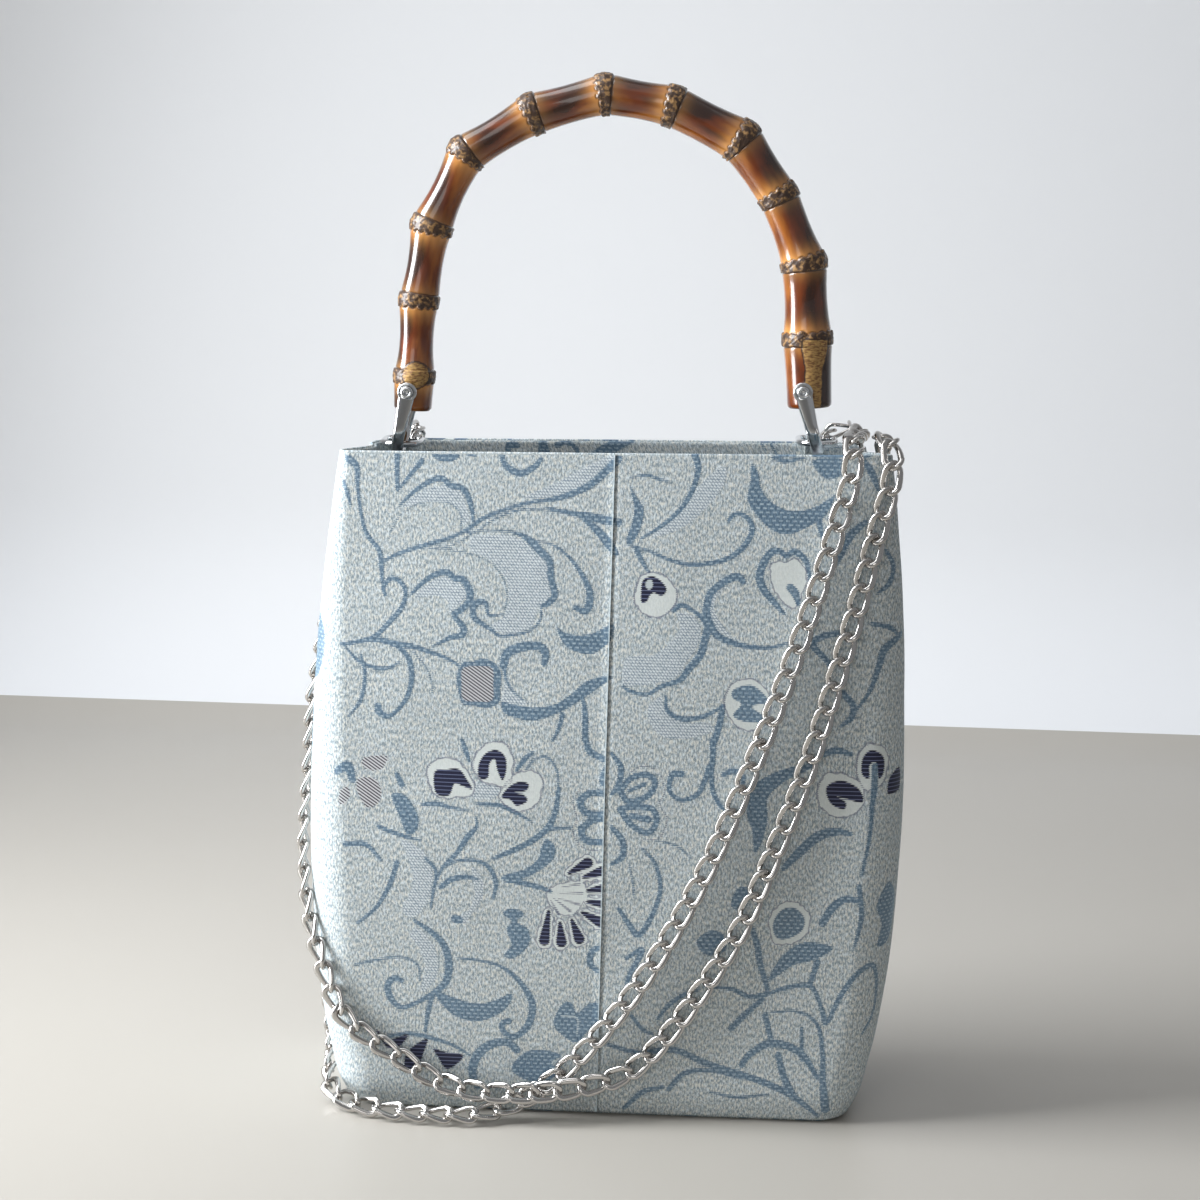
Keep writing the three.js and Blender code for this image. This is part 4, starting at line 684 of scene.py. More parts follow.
    ("blue", 0, [(36.8, 74.4), (41.6, 78.3), (46.6, 76.9), (47.9, 70.7), (41.9, 68.4), (37.9, 70.3)],
     None),
    ("blue", 0, [(51, 94.7), (54.9, 95.8), (56.1, 90.7), (53.3, 86.5), (49.2, 88.4)], None),
    ("blue", 0, [(57.5, 79.4), (59.7, 73.2), (61, 66), (63.3, 58.8), (64.4, 54.6)], [2, 2.6, 2.6, 2,
     1.6]),
    ("blue", 0, [(64.3, 58.8), (68.9, 68.4), (76.6, 74.4), (84.6, 74.2), (88.6, 72.3), (81.9, 67.8),
     (74, 65.5), (68.2, 61.1)], None),
    ("blue", 0, [(40.4, 55.8), (50.4, 55.1), (57.5, 52.2), (64.5, 53.6)], [1, 1.8, 2.2, 2]),
    ("blue", 0, [(51, 39.1), (55.8, 44.6), (62.5, 51.3)], [2.6, 2.6, 2]),
    ("blue", 0, [(62.5, 52.4), (70.4, 55.9), (80.3, 57.3), (84.6, 50.1), (86.9, 42.7)], [1.4, 1.8, 2,
     1.6, 2.4]),
    ("blue", 0, [(82.9, 66.8), (80.3, 57.3)], [2.4, 2]),
    ("blue", 0, [(65.7, 46.1), (76.7, 46.6), (84, 41.5), (86.5, 29.7), (87, 18.9), (88.6, 6.4)], [0.8,
     1.2, 1.6, 2, 2.6, 3.6]),
    ("blue", 0, [(63.8, 45), (66.1, 36.4), (67.3, 32.2)], [2.4, 2, 1.6]),
    ("blue", 0, [(55.5, 24.1), (58.4, 28.6), (65.3, 33.2), (73.3, 32.4), (79.5, 28.3), (84.9, 19.9)],
     [2.4, 2.6, 3.2, 3.2, 2.8, 1.8]),
    ("blue", 0, [(69.4, 29), (71.8, 20.4), (76.2, 11.7)], [2.4, 2.8, 2.8]),
    ("blue", 0, [(78, 40.2), (78.6, 27.2)], [1.4, 1.8]),
    ("blue", 0, [(3.9, 30.6), (16.1, 27.9), (29.1, 29.5), (41.4, 24.6), (53.6, 20.8), (65.9, 16.8),
     (76.2, 11.7), (85.8, 3.5)], [1.6, 2, 2.6, 2.6, 2.6, 2.8, 2.8, 1.6]),
    ("blue", 0, [(27.6, 13), (33.5, 19.9), (43.5, 21.4), (55.7, 18.6)], [2, 2.2, 1.6, 1.2]),
    ("blue", 0, [(10.5, 3.6), (17.5, 11.4), (25.5, 14)], [1.6, 2.4, 1.6]),
    ("blue", 0, [(43.8, 12.6), (54, 10.8), (66.1, 12.4)], [1, 1.4, 1]),
    ("blue", 0, [(10, 66.1), (15.9, 69.5), (11.2, 58.8), (10.3, 53.5)], [1.6, 2.4, 2, 1.4]),
    ("blue", 0, [(12.6, 42.9), (16.8, 37.7), (20.9, 35.7)], [1.6, 1.8, 1.2]),
    ("blue", 0, [(22.7, 42.2), (26.6, 47.7), (32.5, 52.3), (38.4, 54.7)], [1.4, 2, 1.8, 1]),
    ("navy", 0, [(83.6, 135.3), (88.9, 138), (94.9, 135.7), (97.5, 132.3), (97.1, 129.7), (91.2, 131),
     (87.7, 131.9), (91.2, 129.5), (90.3, 127), (85.3, 129.3)], None),
    ("navy", 0, [(96.7, 140.8), (96.9, 146.8), (100.2, 149.9), (105, 147.1), (105.3, 141.1), (103.2,
     139), (101.9, 145), (99.5, 143.9), (99.7, 138.9)], None),
    ("navy", 0, [(107.4, 133.1), (108.3, 139.1), (114, 142.3), (114.7, 134.3), (110, 132.7)], None),
    ("blue2", 0, [(101.5, 143.9), (101.8, 135.9), (101.2, 127.9), (100.7, 115.8), (98.3, 101.5)], [2.4,
     2.8, 2, 1.6, 1.4]),
    ("blue", 0, [(97.5, 97.4), (99, 85.1), (96.6, 72.6)], [2, 2.2, 1.2]),
    ("blue", 0, [(105.2, 89.5), (111, 97.9), (117.1, 89.7), (113.9, 75.2), (106.3, 72.9), (108.2,
     81.3)], None),
    ("blue", 0, [(87.9, 42.7), (92.4, 53.6), (98.1, 62.2), (104.4, 65.6), (107.4, 59.4), (107.6, 46.7),
     (101.9, 36.8)], [1.6, 2.2, 2.2, 2.2, 2, 1.6, 1.2]),
    ("blue", 0, [(84.2, 82.5), (87.9, 88.8), (92.8, 92.1), (97.7, 91.3)], [3, 3.2, 2.8, 1.8]),
]

# Pale petals, each with the width of its fine dark outline
PETALS = [
    (0.3, [(11.2, 212.9), (15.8, 214.2), (21.3, 212.1), (24.5, 208), (24.6, 203.4), (21.7, 199.5),
     (17.9, 197.5), (13.2, 198.5), (9.3, 202.2), (9.1, 206.8)]),
    (0.25, [(46.3, 173.5), (53.9, 175.6), (60.2, 170.8), (61.3, 162.4), (57.6, 156.9), (50.7, 156.6),
     (45.5, 161.9), (44.2, 167.2)]),
    (0.3, [(-67.5, 137.1), (-64.1, 140.7), (-58.2, 141.9), (-54.1, 139.5), (-51.1, 135.6), (-49, 130.6),
     (-50.9, 127.5), (-55.9, 126.9), (-60.8, 126.2), (-64.9, 128.1), (-66.9, 133)]),
    (0.3, [(-50.1, 138.7), (-48.7, 143.7), (-44.4, 147.9), (-38.4, 148.1), (-34.8, 143.2), (-34.7,
     137.2), (-36.1, 132.1), (-42, 131.9), (-47, 133.7)]),
    (0.3, [(-39.9, 127.9), (-37.1, 133.1), (-33.2, 136.7), (-28.3, 138.4), (-23.7, 135.6), (-23.6,
     129.5), (-25.9, 124.9), (-31.9, 122.1), (-36.9, 124)]),
    (0.3, [(80.2, 134.2), (82.9, 140.3), (89.8, 140.5), (96.8, 136.8), (98.1, 129.8), (93.4, 124.6),
     (86.5, 124.3), (81.4, 128.2)]),
    (0.3, [(94.7, 141.7), (95.4, 148.7), (100.1, 152.4), (106.6, 149.1), (106.9, 142.1), (103.9, 136),
     (97.9, 134.8)]),
]
for width, points in PETALS:
    FIGURES.append(("pale", 0, points, None))
    FIGURES.append(("edge", 0, points + points[:1], [width, width]))

# A fan, with rays that are navy in a pale rim, and fine lines across its heart
RAYS = [
    [(-12.4, 99), (-5.5, 103.3)],
    [(-6.8, 97.6), (0.6, 100.5)],
    [(-5.2, 92.3), (2.2, 93.9)],
    [(-5.1, 87.9), (2.4, 87.4)],
    [(-7, 83.7), (-0.4, 80.3)],
    [(-10.9, 80.4), (-7.9, 73.2)],
    [(-15.4, 79.2), (-14.7, 71.6)],
    [(-19.8, 83.7), (-21.3, 72)],
]
FAN_LINES = [
    [(-15.2, 93.2), (-8.3, 95)],
    [(-15.7, 91.1), (-7.2, 91.4)],
    [(-16.1, 89), (-8.1, 86.7)],
    [(-18.1, 88.9), (-11.5, 84)],
    [(-19.1, 87.9), (-16, 82.8)],
]
for ray in RAYS:
    FIGURES.append(("pale", -1, ray, [3.4, 6.6]))
    FIGURES.append(("navy", -1, ray, [1.4, 4.2]))
for line in FAN_LINES:
    FIGURES.append(("edge", -1, line, [0.3, 1]))

REPEAT = 226.0  # how far along the bolt the figures come again


def draw_bolt(cloth):
    """The figures on the front, and the same repeat of the bolt carried on round the bag."""
    for shift, rise in ((0, 0), (-REPEAT, 96), (-REPEAT, -162), (REPEAT, -96), (REPEAT, 162)):
        for layer, half, points, widths in FIGURES:
            if shift and half:
                continue
            cloth.only = half
            moved = [(x + shift, z + rise) for x, z in points]
            if widths is None:
                cloth.shape(layer, moved)
            else:
                cloth.stroke(layer, moved, widths)


# The brocade pieces. The steps run along the front, its corner, the side, the rear corner and
# the back.

OUTSIDE_STEPS = (190, 26, 34, 16, 66)
FACING_STEPS = (60, 12, 24, 12, 60)
LINING_STEPS = (44, 8, 16, 8, 44)
PANEL_STEPS = (40, 8, 14, 8, 40)
WALL_ROWS = 280
FACING_ROWS = 34
LINING_ROWS = 60
FACING_FOOT = 222.4
SEAM_LAP = 0.4  # how far the left half's front edge is moved toward the right half
FOLD_HIGHLIGHT_WIDTH = 0.45  # the width of the painted highlight along the fold's edge


def weave_on(piece, u, v, shown=LAYERS):
    """Puts the woven figures on a cloth piece whose points lie u along and v up the bolt."""
    pattern = Pattern(u, v)
    draw_bolt(pattern)
    blank = np.full(pattern.u.shape, Pattern.reach)
    for layer in LAYERS:
        field = pattern.layers.get(layer, blank) if layer in shown else blank
        give_values(piece, layer, field)
    give_uv(piece, u, v)


def outer_half(side, name, brocade):
    """One half of the bag's outside: its skin, its folded rim and its inner face."""
    # The rows: the foot, the skin, the turn over the rim, and the inner face.
    turn = np.linspace(0, math.pi, 7)
    hem_turn = RIM - 0.6 + 0.6 * np.sin(turn)
    inner_face = [240, 200, 150, 100, 50, 10, 1.2]
    rise = np.concatenate([[1.2, 1.6], np.linspace(2.4, RIM - 1.0, WALL_ROWS), hem_turn, inner_face])
    inward = np.concatenate([[0.5, 0.2], np.zeros(WALL_ROWS), CLOTH / 2 * (1 - np.cos(turn)),
                             [CLOTH] * len(inner_face)])
    outside = WALL_ROWS + 2
    points = wall(side, rise, inward, OUTSIDE_STEPS)
    # The skin sags a little, puckers at the seams and dips or rises beside them.
    skin = points[:outside]
    u = run_along(skin)
    v = skin[..., 2]
    seam = np.minimum(u, u[:, -1:] - u)
    sag = 0.35 * ripple(u, v, 46.0, 3.0 + side) + 0.12 * ripple(u, v, 14.0, 7.0 + side)
    pucker = 0.22 * np.exp(-seam / 5.0) * ripple(0 * u, v, 4.5, 11.0 + side)
    near_seam = np.exp(-((seam / 1.4) ** 2))
    fold = 0.3 * near_seam if side < 0 else -0.65 * near_seam
    hem = 1 - smooth_step(RIM - 14, RIM - 4, v)
    out = (sag + pucker) * hem * smooth_step(2, 14, v) + fold
    along = np.gradient(skin, axis=1)
    normal = unit(np.stack([along[..., 1] * side, -along[..., 0] * side, 0 * along[..., 0]], axis=-1))
    points[:outside] += normal * out[..., None]
    if side < 0:
        front_edge = np.exp(-((u / 0.9) ** 2)) * (u < u[:, -1:] / 2)
        points[:outside, :, 0] += SEAM_LAP * front_edge
    rows, columns = points.shape[:2]
    faces = grid_faces(rows, columns, close_rows=True)
    piece = new_piece(name, points, faces, brocade, "bag")
    # The inner face carries the weave on from the rim.
    across = side * np.vstack([u, np.repeat(u[-1:], rows - outside, axis=0)])
    up = np.vstack([v, 2 * RIM - points[outside:, :, 2]])
    weave_on(piece, across, up)
    # A painted highlight: a pale line along the left half's folded front edge, standing in for the fold
    # catching light.
    edge = (np.abs(across) < FOLD_HIGHLIGHT_WIDTH) & (side < 0)
    give_values(piece, "fold_highlight", edge * 1.0)


def mouth_facing(brocade):
    """The brocade band inside the mouth."""
    shown_face = np.linspace(FACING_FOOT, RIM - 1, FACING_ROWS)
    rise = np.concatenate([shown_face, [257.4, 257.3], [250, FACING_FOOT]])
    inward = np.concatenate([[2.5] * FACING_ROWS, [2.2, 1.7], [1.5, 1.5]])
    points = whole_wall(rise, inward, FACING_STEPS)
    rows, columns = points.shape[:2]
    faces = grid_faces(rows, columns, close_rows=True, close_columns=True)
    piece = new_piece("mouth_facing", points, faces, brocade, "bag")
    weave_on(piece, 90 - run_along(points), points[..., 2] - 20, ("blue", "tint"))


def plain_lining(cotton):
    """The lining: walls with soft folds, and a floor."""
    outer_face = [200, 150, 100, 50, 12, 4.3]
    rise = np.concatenate([[4.8], np.linspace(6, 221, LINING_ROWS), [221.6, 221.6], outer_face])
    inward = np.concatenate([[3.2], np.full(LINING_ROWS, 2.3), [2.1, 1.7], [1.5] * len(outer_face)])
    points = whole_wall(rise, inward, LINING_STEPS)
    u = run_along(points)
    z = points[..., 2]
    soft = smooth_step(8, 40, z) * (1 - smooth_step(190, 220, z))
    shift = 0.7 * (ripple(u, z, 40.0, 21.0) + 1) * soft
    shift[LINING_ROWS + 1:] = 0
    toward = points.mean(axis=1, keepdims=True) - points
    toward[..., 2] = 0
    points = points + unit(toward) * shift[..., None]
    faces = capped_faces(*points.shape[:2])
    piece = new_piece("lining", points, faces, cotton, "bag")
    give_uv(piece, u, points[..., 2])


def base_panel(brocade):
    """The bag's underside, with a softly rounded edge."""
    rise = np.array([1.5, 1.6, 1.6, 1.2, 0.3, 0.02, 0.0, 0.0])
    inward = np.array([6.0, 3.0, 1.9, 1.55, 1.6, 2.2, 3.4, 20.0])
    points = whole_wall(np.zeros(len(rise)), inward, PANEL_STEPS)
    points[..., 2] = rise[:, None]
    faces = capped_faces(*points.shape[:2])
    piece = new_piece("base_panel", points, faces, brocade, "bag")
    weave_on(piece, points[..., 0], points[..., 1] + 60)


# Rings, shackles and screws

def sweep(centres, across, up, half_across, half_up, sides, closed=False, power=1.0):
    """Rows of points round a path. A power below 1 squares the section off."""
    angle = np.linspace(0, 2 * math.pi, sides, endpoint=False)
    ca, sa = np.cos(angle), np.sin(angle)
    ca, sa = np.sign(ca) * np.abs(ca) ** power, np.sign(sa) * np.abs(sa) ** power
    half_across = np.reshape(np.broadcast_to(half_across, len(centres)), (-1, 1, 1))
    half_up = np.reshape(np.broadcast_to(half_up, len(centres)), (-1, 1, 1))
    points = centres[:, None, :] + half_across * across[:, None, :] * ca[None, :, None]
    points = points + half_up * up[:, None, :] * sa[None, :, None]
    rows = len(centres)
    if closed:
        faces = grid_faces(rows, sides, close_rows=True, close_columns=True).tolist()
    else:
        faces = capped_faces(rows, sides)
    return points.reshape(-1, 3), faces


def wire_loop(path, half_across, half_up, sides):
    """A closed wire along a flat path, with its cross-section across the path and along Z."""
    along = unit(np.roll(path, -1, axis=0) - np.roll(path, 1, axis=0))
    across = np.stack([along[:, 1], -along[:, 0], 0 * along[:, 0]], axis=1)
    up = np.tile([0.0, 0.0, 1.0], (len(path), 1))
    return sweep(path, across, up, half_across, half_up, sides, closed=True)


def joined(parts):
    """Several sets of points and faces as one."""
    points, faces, start = [], [], 0
    for these, those in parts:
        points.append(these)
        faces += [[i + start for i in face] for face in those]
        start += len(these)
    return np.vstack(points), faces


def turned(profile, axis_at, sides=48):
    """A lathe form about an axis along Y. The profile is radius and place along the axis."""
    profile = np.asarray(profile, dtype=float)
    angle = np.linspace(0, 2 * math.pi, sides, endpoint=False)
    x = axis_at[0] + profile[:, :1] * np.cos(angle)
    z = axis_at[2] + profile[:, :1] * np.sin(angle)
    y = np.broadcast_to(axis_at[1] + profile[:, 1:], x.shape)
    faces = grid_faces(len(profile), sides, close_columns=True).tolist()
    return np.stack([x, y, z], axis=-1).reshape(-1, 3), faces


BAR_Y = 15.5  # how far behind the middle the rings' bars lie
RING_DEPTH = 15.5  # from the bar to the round end
RING_HALF = 7.0  # half a ring's width, to the middle of its wire
RING_CORNER = 2.4
RING_TILT = math.radians(3)
WIRE = 1.25  # the radius of a ring's wire
RINGS = {"left": (-84.3, 257.0), "right": (77.4, 261.8)}
HANGS = {"left": -84.3, "right": 76.5}
LEANS = {"left": math.radians(10.5), "right": math.radians(-16.5)}
SHACKLE = 21.5  # from the ring's wire to the screw
SHACKLE_INNER = 9.6  # half the gap between the arms
ARM = 2.6  # an arm's thickness
ARM_WIDTH = 4.6
EYE = 3.75  # an eye's radius
EYE_THICK = 2.4
EYE_HOLE = 1.95
HANG_GAP = 0.7  # between a ring's wire and the bend of its shackle


def arc(centre, radius, start, stop, count):
    angle = np.radians(np.linspace(start, stop, count))
    return [(centre[0] + radius * math.cos(a), centre[1] + radius * math.sin(a)) for a in angle]


def handle_ring(side, chrome):
    """A D of round wire, whose bar is held by its tab."""
    inner = RING_HALF - RING_CORNER
    leg = RING_HALF - RING_DEPTH
    path = [(x, 0.0) for x in np.linspace(-inner, inner, 7)[:-1]]
    path += arc((inner, -RING_CORNER), RING_CORNER, 90, 0, 9)
    path += [(RING_HALF, y) for y in np.linspace(-RING_CORNER, leg, 6)[1:-1]]
    path += arc((0, leg), RING_HALF, 0, -180, 33)
    path += [(-RING_HALF, y) for y in np.linspace(leg, -RING_CORNER, 6)[1:-1]]
    path += arc((-inner, -RING_CORNER), RING_CORNER, 180, 90, 9)[:-1]
    flat = np.array([(x, y, 0.0) for x, y in path])
    points, faces = wire_loop(flat, WIRE, WIRE, 20)
    x, z = RINGS[side]
    tilt = np.array([[1, 0, 0], [0, math.cos(RING_TILT), -math.sin(RING_TILT)],
                     [0, math.sin(RING_TILT), math.cos(RING_TILT)]])
    points = points @ tilt.T + [x, BAR_Y, z]
    name = f"ring_{side}"
    new_piece(name, points, faces, chrome, name)


def hang_point(side):
    """Where a ring's wire holds the bend of its shackle."""
    z = RINGS[side][1]
    return np.array([HANGS[side], BAR_Y - RING_DEPTH * math.cos(RING_TILT),
                     z - RING_DEPTH * math.sin(RING_TILT)])


def screw_point(side):
    """The middle of a screw, between the eyes of its shackle."""
    lean = LEANS[side]
    return hang_point(side) + SHACKLE * np.array([math.sin(lean), 0, math.cos(lean)])


def eye_disc(sign):
    """A round eye with softened edges and the screw's hole."""
    near = sign * SHACKLE_INNER
    far = sign * (SHACKLE_INNER + EYE_THICK)
    step = sign * 0.5
    profile = [(EYE_HOLE, near), (EYE - 0.5, near), (EYE - 0.12, near + step * 0.3),
               (EYE, near + step), (EYE, far - step), (EYE - 0.12, far - step * 0.3),
               (EYE - 0.5, far), (EYE_HOLE, far), (EYE_HOLE, near)]
    return turned(profile, (0, 0, SHACKLE))


def shackle(side, chrome):
    """A U of forged bar whose bend hangs in the ring, with an eye at each end."""
    bend = SHACKLE_INNER - WIRE - HANG_GAP
    middle = SHACKLE_INNER + ARM / 2
    top = SHACKLE - EYE * 0.4
    down = np.linspace(top, bend, 12)[:-1]
    turn = np.linspace(0, -math.pi, 41)
    centres = [(0, middle, z) for z in down]
    centres += [(0, middle * math.cos(a), bend + middle * math.sin(a)) for a in turn]
    centres += [(0, -middle, z) for z in down[::-1]]
    outward = [(0, 1, 0)] * len(down)
    outward += [(0, math.cos(a), math.sin(a)) for a in turn]
    outward += [(0, -1, 0)] * len(down)
    flare = np.interp(down, [bend, top], [ARM_WIDTH, EYE * 1.7])
    width = np.concatenate([flare, np.full(len(turn), ARM_WIDTH), flare[::-1]])
    level = np.tile([1.0, 0, 0], (len(centres), 1))
    centres = np.array(centres, dtype=float)
    outward = np.array(outward, dtype=float)
    bar = sweep(centres, level, outward, width / 2, ARM / 2, 20, power=0.8)
    points, faces = joined([bar, eye_disc(-1), eye_disc(1)])
    lean = LEANS[side]
    turn_y = np.array([[math.cos(lean), 0, math.sin(lean)], [0, 1, 0],
                       [-math.sin(lean), 0, math.cos(lean)]])
    points = points @ turn_y.T + hang_point(side)
    name = f"shackle_{side}"
    new_piece(name, points, faces, chrome, name)


def screw(side, chrome):
    """A screw with a domed socket head in front and a domed nut behind."""
    face = SHACKLE_INNER + EYE_THICK + SEAT
    profile = [(0.0, -face + 0.1), (1.05, -face + 0.1), (1.15, -face - 0.95), (1.45, -face - 1.1),
               (1.95, -face - 1.0), (2.3, -face - 0.6), (2.4, -face - 0.2), (2.4, -face), (1.6, -face),
               (1.6, face), (2.4, face), (2.4, face + 0.3), (2.1, face + 0.75), (1.4, face + 1.02),
               (0.0, face + 1.1)]
    points, faces = turned(profile, screw_point(side), 32)
    new_piece(f"screw_{side}", points, faces, chrome, f"shackle_{side}")


def ring_tab(side, brocade):
    """A strap of brocade round the ring's bar, sewn down inside the back of the mouth."""
    name = f"ring_tab_{side}"
    low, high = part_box(name)
    ring_z = RINGS[side][1]
    skin = WIRE + SEAT + 1.0
    back = high.y / MM
    tail = [(back - 2.0, ring_z - 9.5), (back - 2.05, ring_z - 16), (back - 2.1, ring_z - 23.4),
            (back - 1.6, ring_z - 24), (back - 0.7, ring_z - 24), (back - 0.2, ring_z - 23.4),
            (back - 0.15, ring_z - 16), (back, ring_z - 8.4)]
    loop = [(BAR_Y + skin * math.cos(a), ring_z + skin * math.sin(a))
            for a in np.linspace(math.pi * 0.12, math.pi * 1.42, 26)]
    outline = np.array(loop + tail)
    mid = (low.x + high.x) / 2 / MM
    half = (high.x - low.x) / 2 / MM
    toward = unit(outline.mean(axis=0) - outline)
    rounded = ((-1, 0.35), (-0.93, 0.08), (-0.8, 0), (0, 0), (0.8, 0), (0.93, 0.08), (1, 0.35))
    rows = []
    for share, sink in rounded:
        x = np.full(len(outline), mid + share * half)
        rows.append(np.column_stack([x, outline + toward * sink]))
    points = np.concatenate(rows)
    piece = new_piece(name, points, capped_faces(len(rows), len(outline)), brocade, "bag")
    weave_on(piece, points[:, 0], points[:, 2] - 60)


# The bamboo handle: each node's place across, its height above the rim, its radius and the
# waist's after it

NODES = [
    (-79.4, 11.8, 7.2, 7.3), (-78.9, 25.0, 8.5, 6.5), (-77.5, 54.0, 8.0, 6.5), (-73.1, 82.2, 8.5, 6.5),
    (-60.2, 109.6, 8.2, 6.7), (-35.2, 125.1, 8.2, 6.9), (-7.9, 133.2, 8.2, 7.2), (17.7, 129.3, 8.4, 7.5),
    (43.8, 117.0, 8.8, 7.3), (58.9, 96.5, 8.1, 7.4), (69.5, 71.6, 9.3, 8.0), (71.8, 43.2, 9.8, 8.6),
    (73.6, 17.2, 8.4, 8.4),
]
AROUND = 84  # points round the handle
BAND_HALF = 2.6  # half the width of a node's band
NODE_REACH = 4.4  # the points lie closer along the handle this near a node
BEND_REACH = 6  # the handle's heading turns this near a node
SCREW_HOLE = 1.9
DRILL_REACH = 24


def bamboo_handle(lacquer):
    """Straight lengths of bamboo root that flare and bend at raised, pitted nodes."""
    places = np.array([(x, 0.0, RIM + rise) for x, rise, _, _ in NODES])
    radii = np.array([node[2] for node in NODES])
    waists = np.array([node[3] for node in NODES])
    runs = np.diff(places, axis=0)
    lengths = np.linalg.norm(runs, axis=1)
    starts = np.concatenate([[0], np.cumsum(lengths)])
    total = starts[-1]
    fine = [np.linspace(start - NODE_REACH, start + NODE_REACH, 45) for start in starts[1:-1]]
    travel = np.unique(np.round(np.concatenate([np.arange(0, total, 1.0), [total], *fine]), 3))
    span = np.clip(np.searchsorted(starts, travel, side="right") - 1, 0, len(runs) - 1)
    share = (travel - starts[span]) / lengths[span]
    centre = places[span] + runs[span] * share[:, None]
    headings = unit(runs)
    along = headings[span].copy()
    for i, start in enumerate(starts[1:-1], start=1):
        near = np.abs(travel - start) < BEND_REACH
        t = smooth_step(-BEND_REACH, BEND_REACH, travel[near] - start)[:, None]
        along[near] = headings[i - 1] * (1 - t) + headings[i] * t
    along = unit(along)
    # How far each row is from its nearest node, and the handle's radius there.
    gaps = travel[:, None] - starts[None, 1:-1]
    nearest = np.argmin(np.abs(gaps), axis=1)
    gap = gaps[np.arange(len(travel)), nearest]
    node_radius = radii[1:-1][nearest]
    flare = (node_radius - 0.5 - waists[span]) * np.exp(-((np.abs(gap) / 7.0) ** 1.6))
    body = waists[span] + flare

    # The band on each node, scalloped on one side and pitted, with a crease along both edges.
    angle = np.linspace(0, 2 * math.pi, AROUND, endpoint=False)[None, :]
    shape = (len(travel), AROUND)
    travel_grid = np.broadcast_to(travel[:, None], shape)
    angle_grid = np.broadcast_to(angle, shape)
    ring_x, ring_y = np.cos(angle_grid) * 8, np.sin(angle_grid) * 8
    rough = ripple(ring_x + travel_grid * 0.7, ring_y + travel_grid * 0.6, 2.6, 41.0)
    fine_rough = ripple(ring_x * 1.1 - travel_grid * 0.8, ring_y + travel_grid, 1.1, 43.0)
    slow = ripple(ring_x, travel_grid + ring_y, 18.0, 47.0)
    scallop = 1.1 * np.abs(np.sin(angle_grid * 7.5 + nearest[:, None] * 1.7 + 1.2 * slow)) + 0.5 * rough
    low_edge = gap[:, None] + BAND_HALF - 0.5 + scallop
    high_edge = BAND_HALF - gap[:, None] + 0.15 * rough
    inside = np.minimum(low_edge, high_edge)
    band = smooth_step(-0.15, 0.35, inside)
    crease = np.exp(-((inside / 0.34) ** 2))
    radius = body[:, None] * (1 + 0.018 * np.sin(2 * angle_grid + 0.08 * travel_grid))
    radius = radius + band * (0.5 + 0.3 * rough + 0.2 * fine_rough) - 0.25 * crease + 0.16 * slow
    end_gap = np.minimum(travel, total - travel)
    rounding = 0.9 * (1 - np.sqrt(np.clip(1 - (1 - np.clip(end_gap / 1.2, 0, 1)) ** 2, 0, 1)))
    radius = radius - rounding[:, None]
    across = np.array([0.0, 1.0, 0.0])
    up = np.cross(along, across)
    points = centre[:, None, :] + radius[..., None] * (
        np.cos(angle)[..., None] * across + np.sin(angle)[..., None] * up[:, None, :])

    # The two cut ends, a little hollowed.
    pieces = [points.reshape(-1, 3)]
    faces = grid_faces(len(travel), AROUND, close_columns=True).tolist()
    count = len(travel) * AROUND
    for row, sign in ((0, -1), (len(travel) - 1, 1)):
        previous = row * AROUND
        for shrink, sink in ((0.82, 0.0), (0.5, -0.15), (0.2, -0.3)):
            pieces.append(centre[row] + (points[row] - centre[row]) * shrink + along[row] * sink * sign)
            for j in range(AROUND):
                k = (j + 1) % AROUND
                faces.append([previous + j, previous + k, count + k, count + j])
            previous = count
            count += AROUND
        faces.append(list(range(previous, previous + AROUND)))
    everything = np.vstack(pieces)
    piece = new_piece("bamboo_handle", everything, faces, lacquer, "handle")

    # What the lacquer reads.
    on_ends = count - travel_grid.size
    before = np.exp(-((np.clip(-low_edge, 0, 99) / 3.6) ** 1.5)) * (gap[:, None] < 0)
    after = np.exp(-((np.clip(-high_edge, 0, 99) / 3.0) ** 1.5)) * (gap[:, None] > 0)
    values = {
        "along": travel_grid, "outer": np.sin(angle_grid), "front": -np.cos(angle_grid),
        "band": band, "crease": crease, "before_node": before, "after_node": after,
        "end": np.broadcast_to(end_gap[:, None], shape),
    }
    for name, value in values.items():
        fill = -1.0 if name == "end" else 0.0
        give_values(piece, name, np.concatenate([value.ravel(), np.full(on_ends, fill)]))
    give_values(piece, "scar", scar_distance(everything))
    for side in ("left", "right"):
        drill(piece, screw_point(side), SCREW_HOLE, DRILL_REACH)


def scar_distance(points):
    """How far each point is from the pale scars where side roots were cut away, in front."""
    front = np.where(points[:, 1] < 0, 0, 6.0)
    x, rise = points[:, 0], points[:, 2] - RIM
    disc = np.hypot(x + 77.6, rise - 25.6) - 5.0
    half = 3.2 + 1.6 * smooth_step(31, 41, rise)
    strip = np.maximum(np.abs(x - 74.4) - half, rise - 43.5)
    return np.minimum(disc, strip) + front


def drill(piece, place, radius, reach):
    """Cuts a round hole through a piece along Y."""
    bpy.ops.mesh.primitive_cylinder_add(vertices=32, radius=radius * MM, depth=2 * reach * MM,
                                        location=tuple(place * MM), rotation=(math.pi / 2, 0, 0))
    cutter = bpy.context.object
    modifier = piece.modifiers.new("screw_hole", "BOOLEAN")
    modifier.operation = "DIFFERENCE"
    modifier.object = cutter
    modifier.solver = "EXACT"
    bpy.context.view_layer.objects.active = piece
    bpy.ops.object.modifier_apply(modifier=modifier.name)
    bpy.data.objects.remove(cutter)


# The chain: the places that it passes, in order, and the way that its links face at each

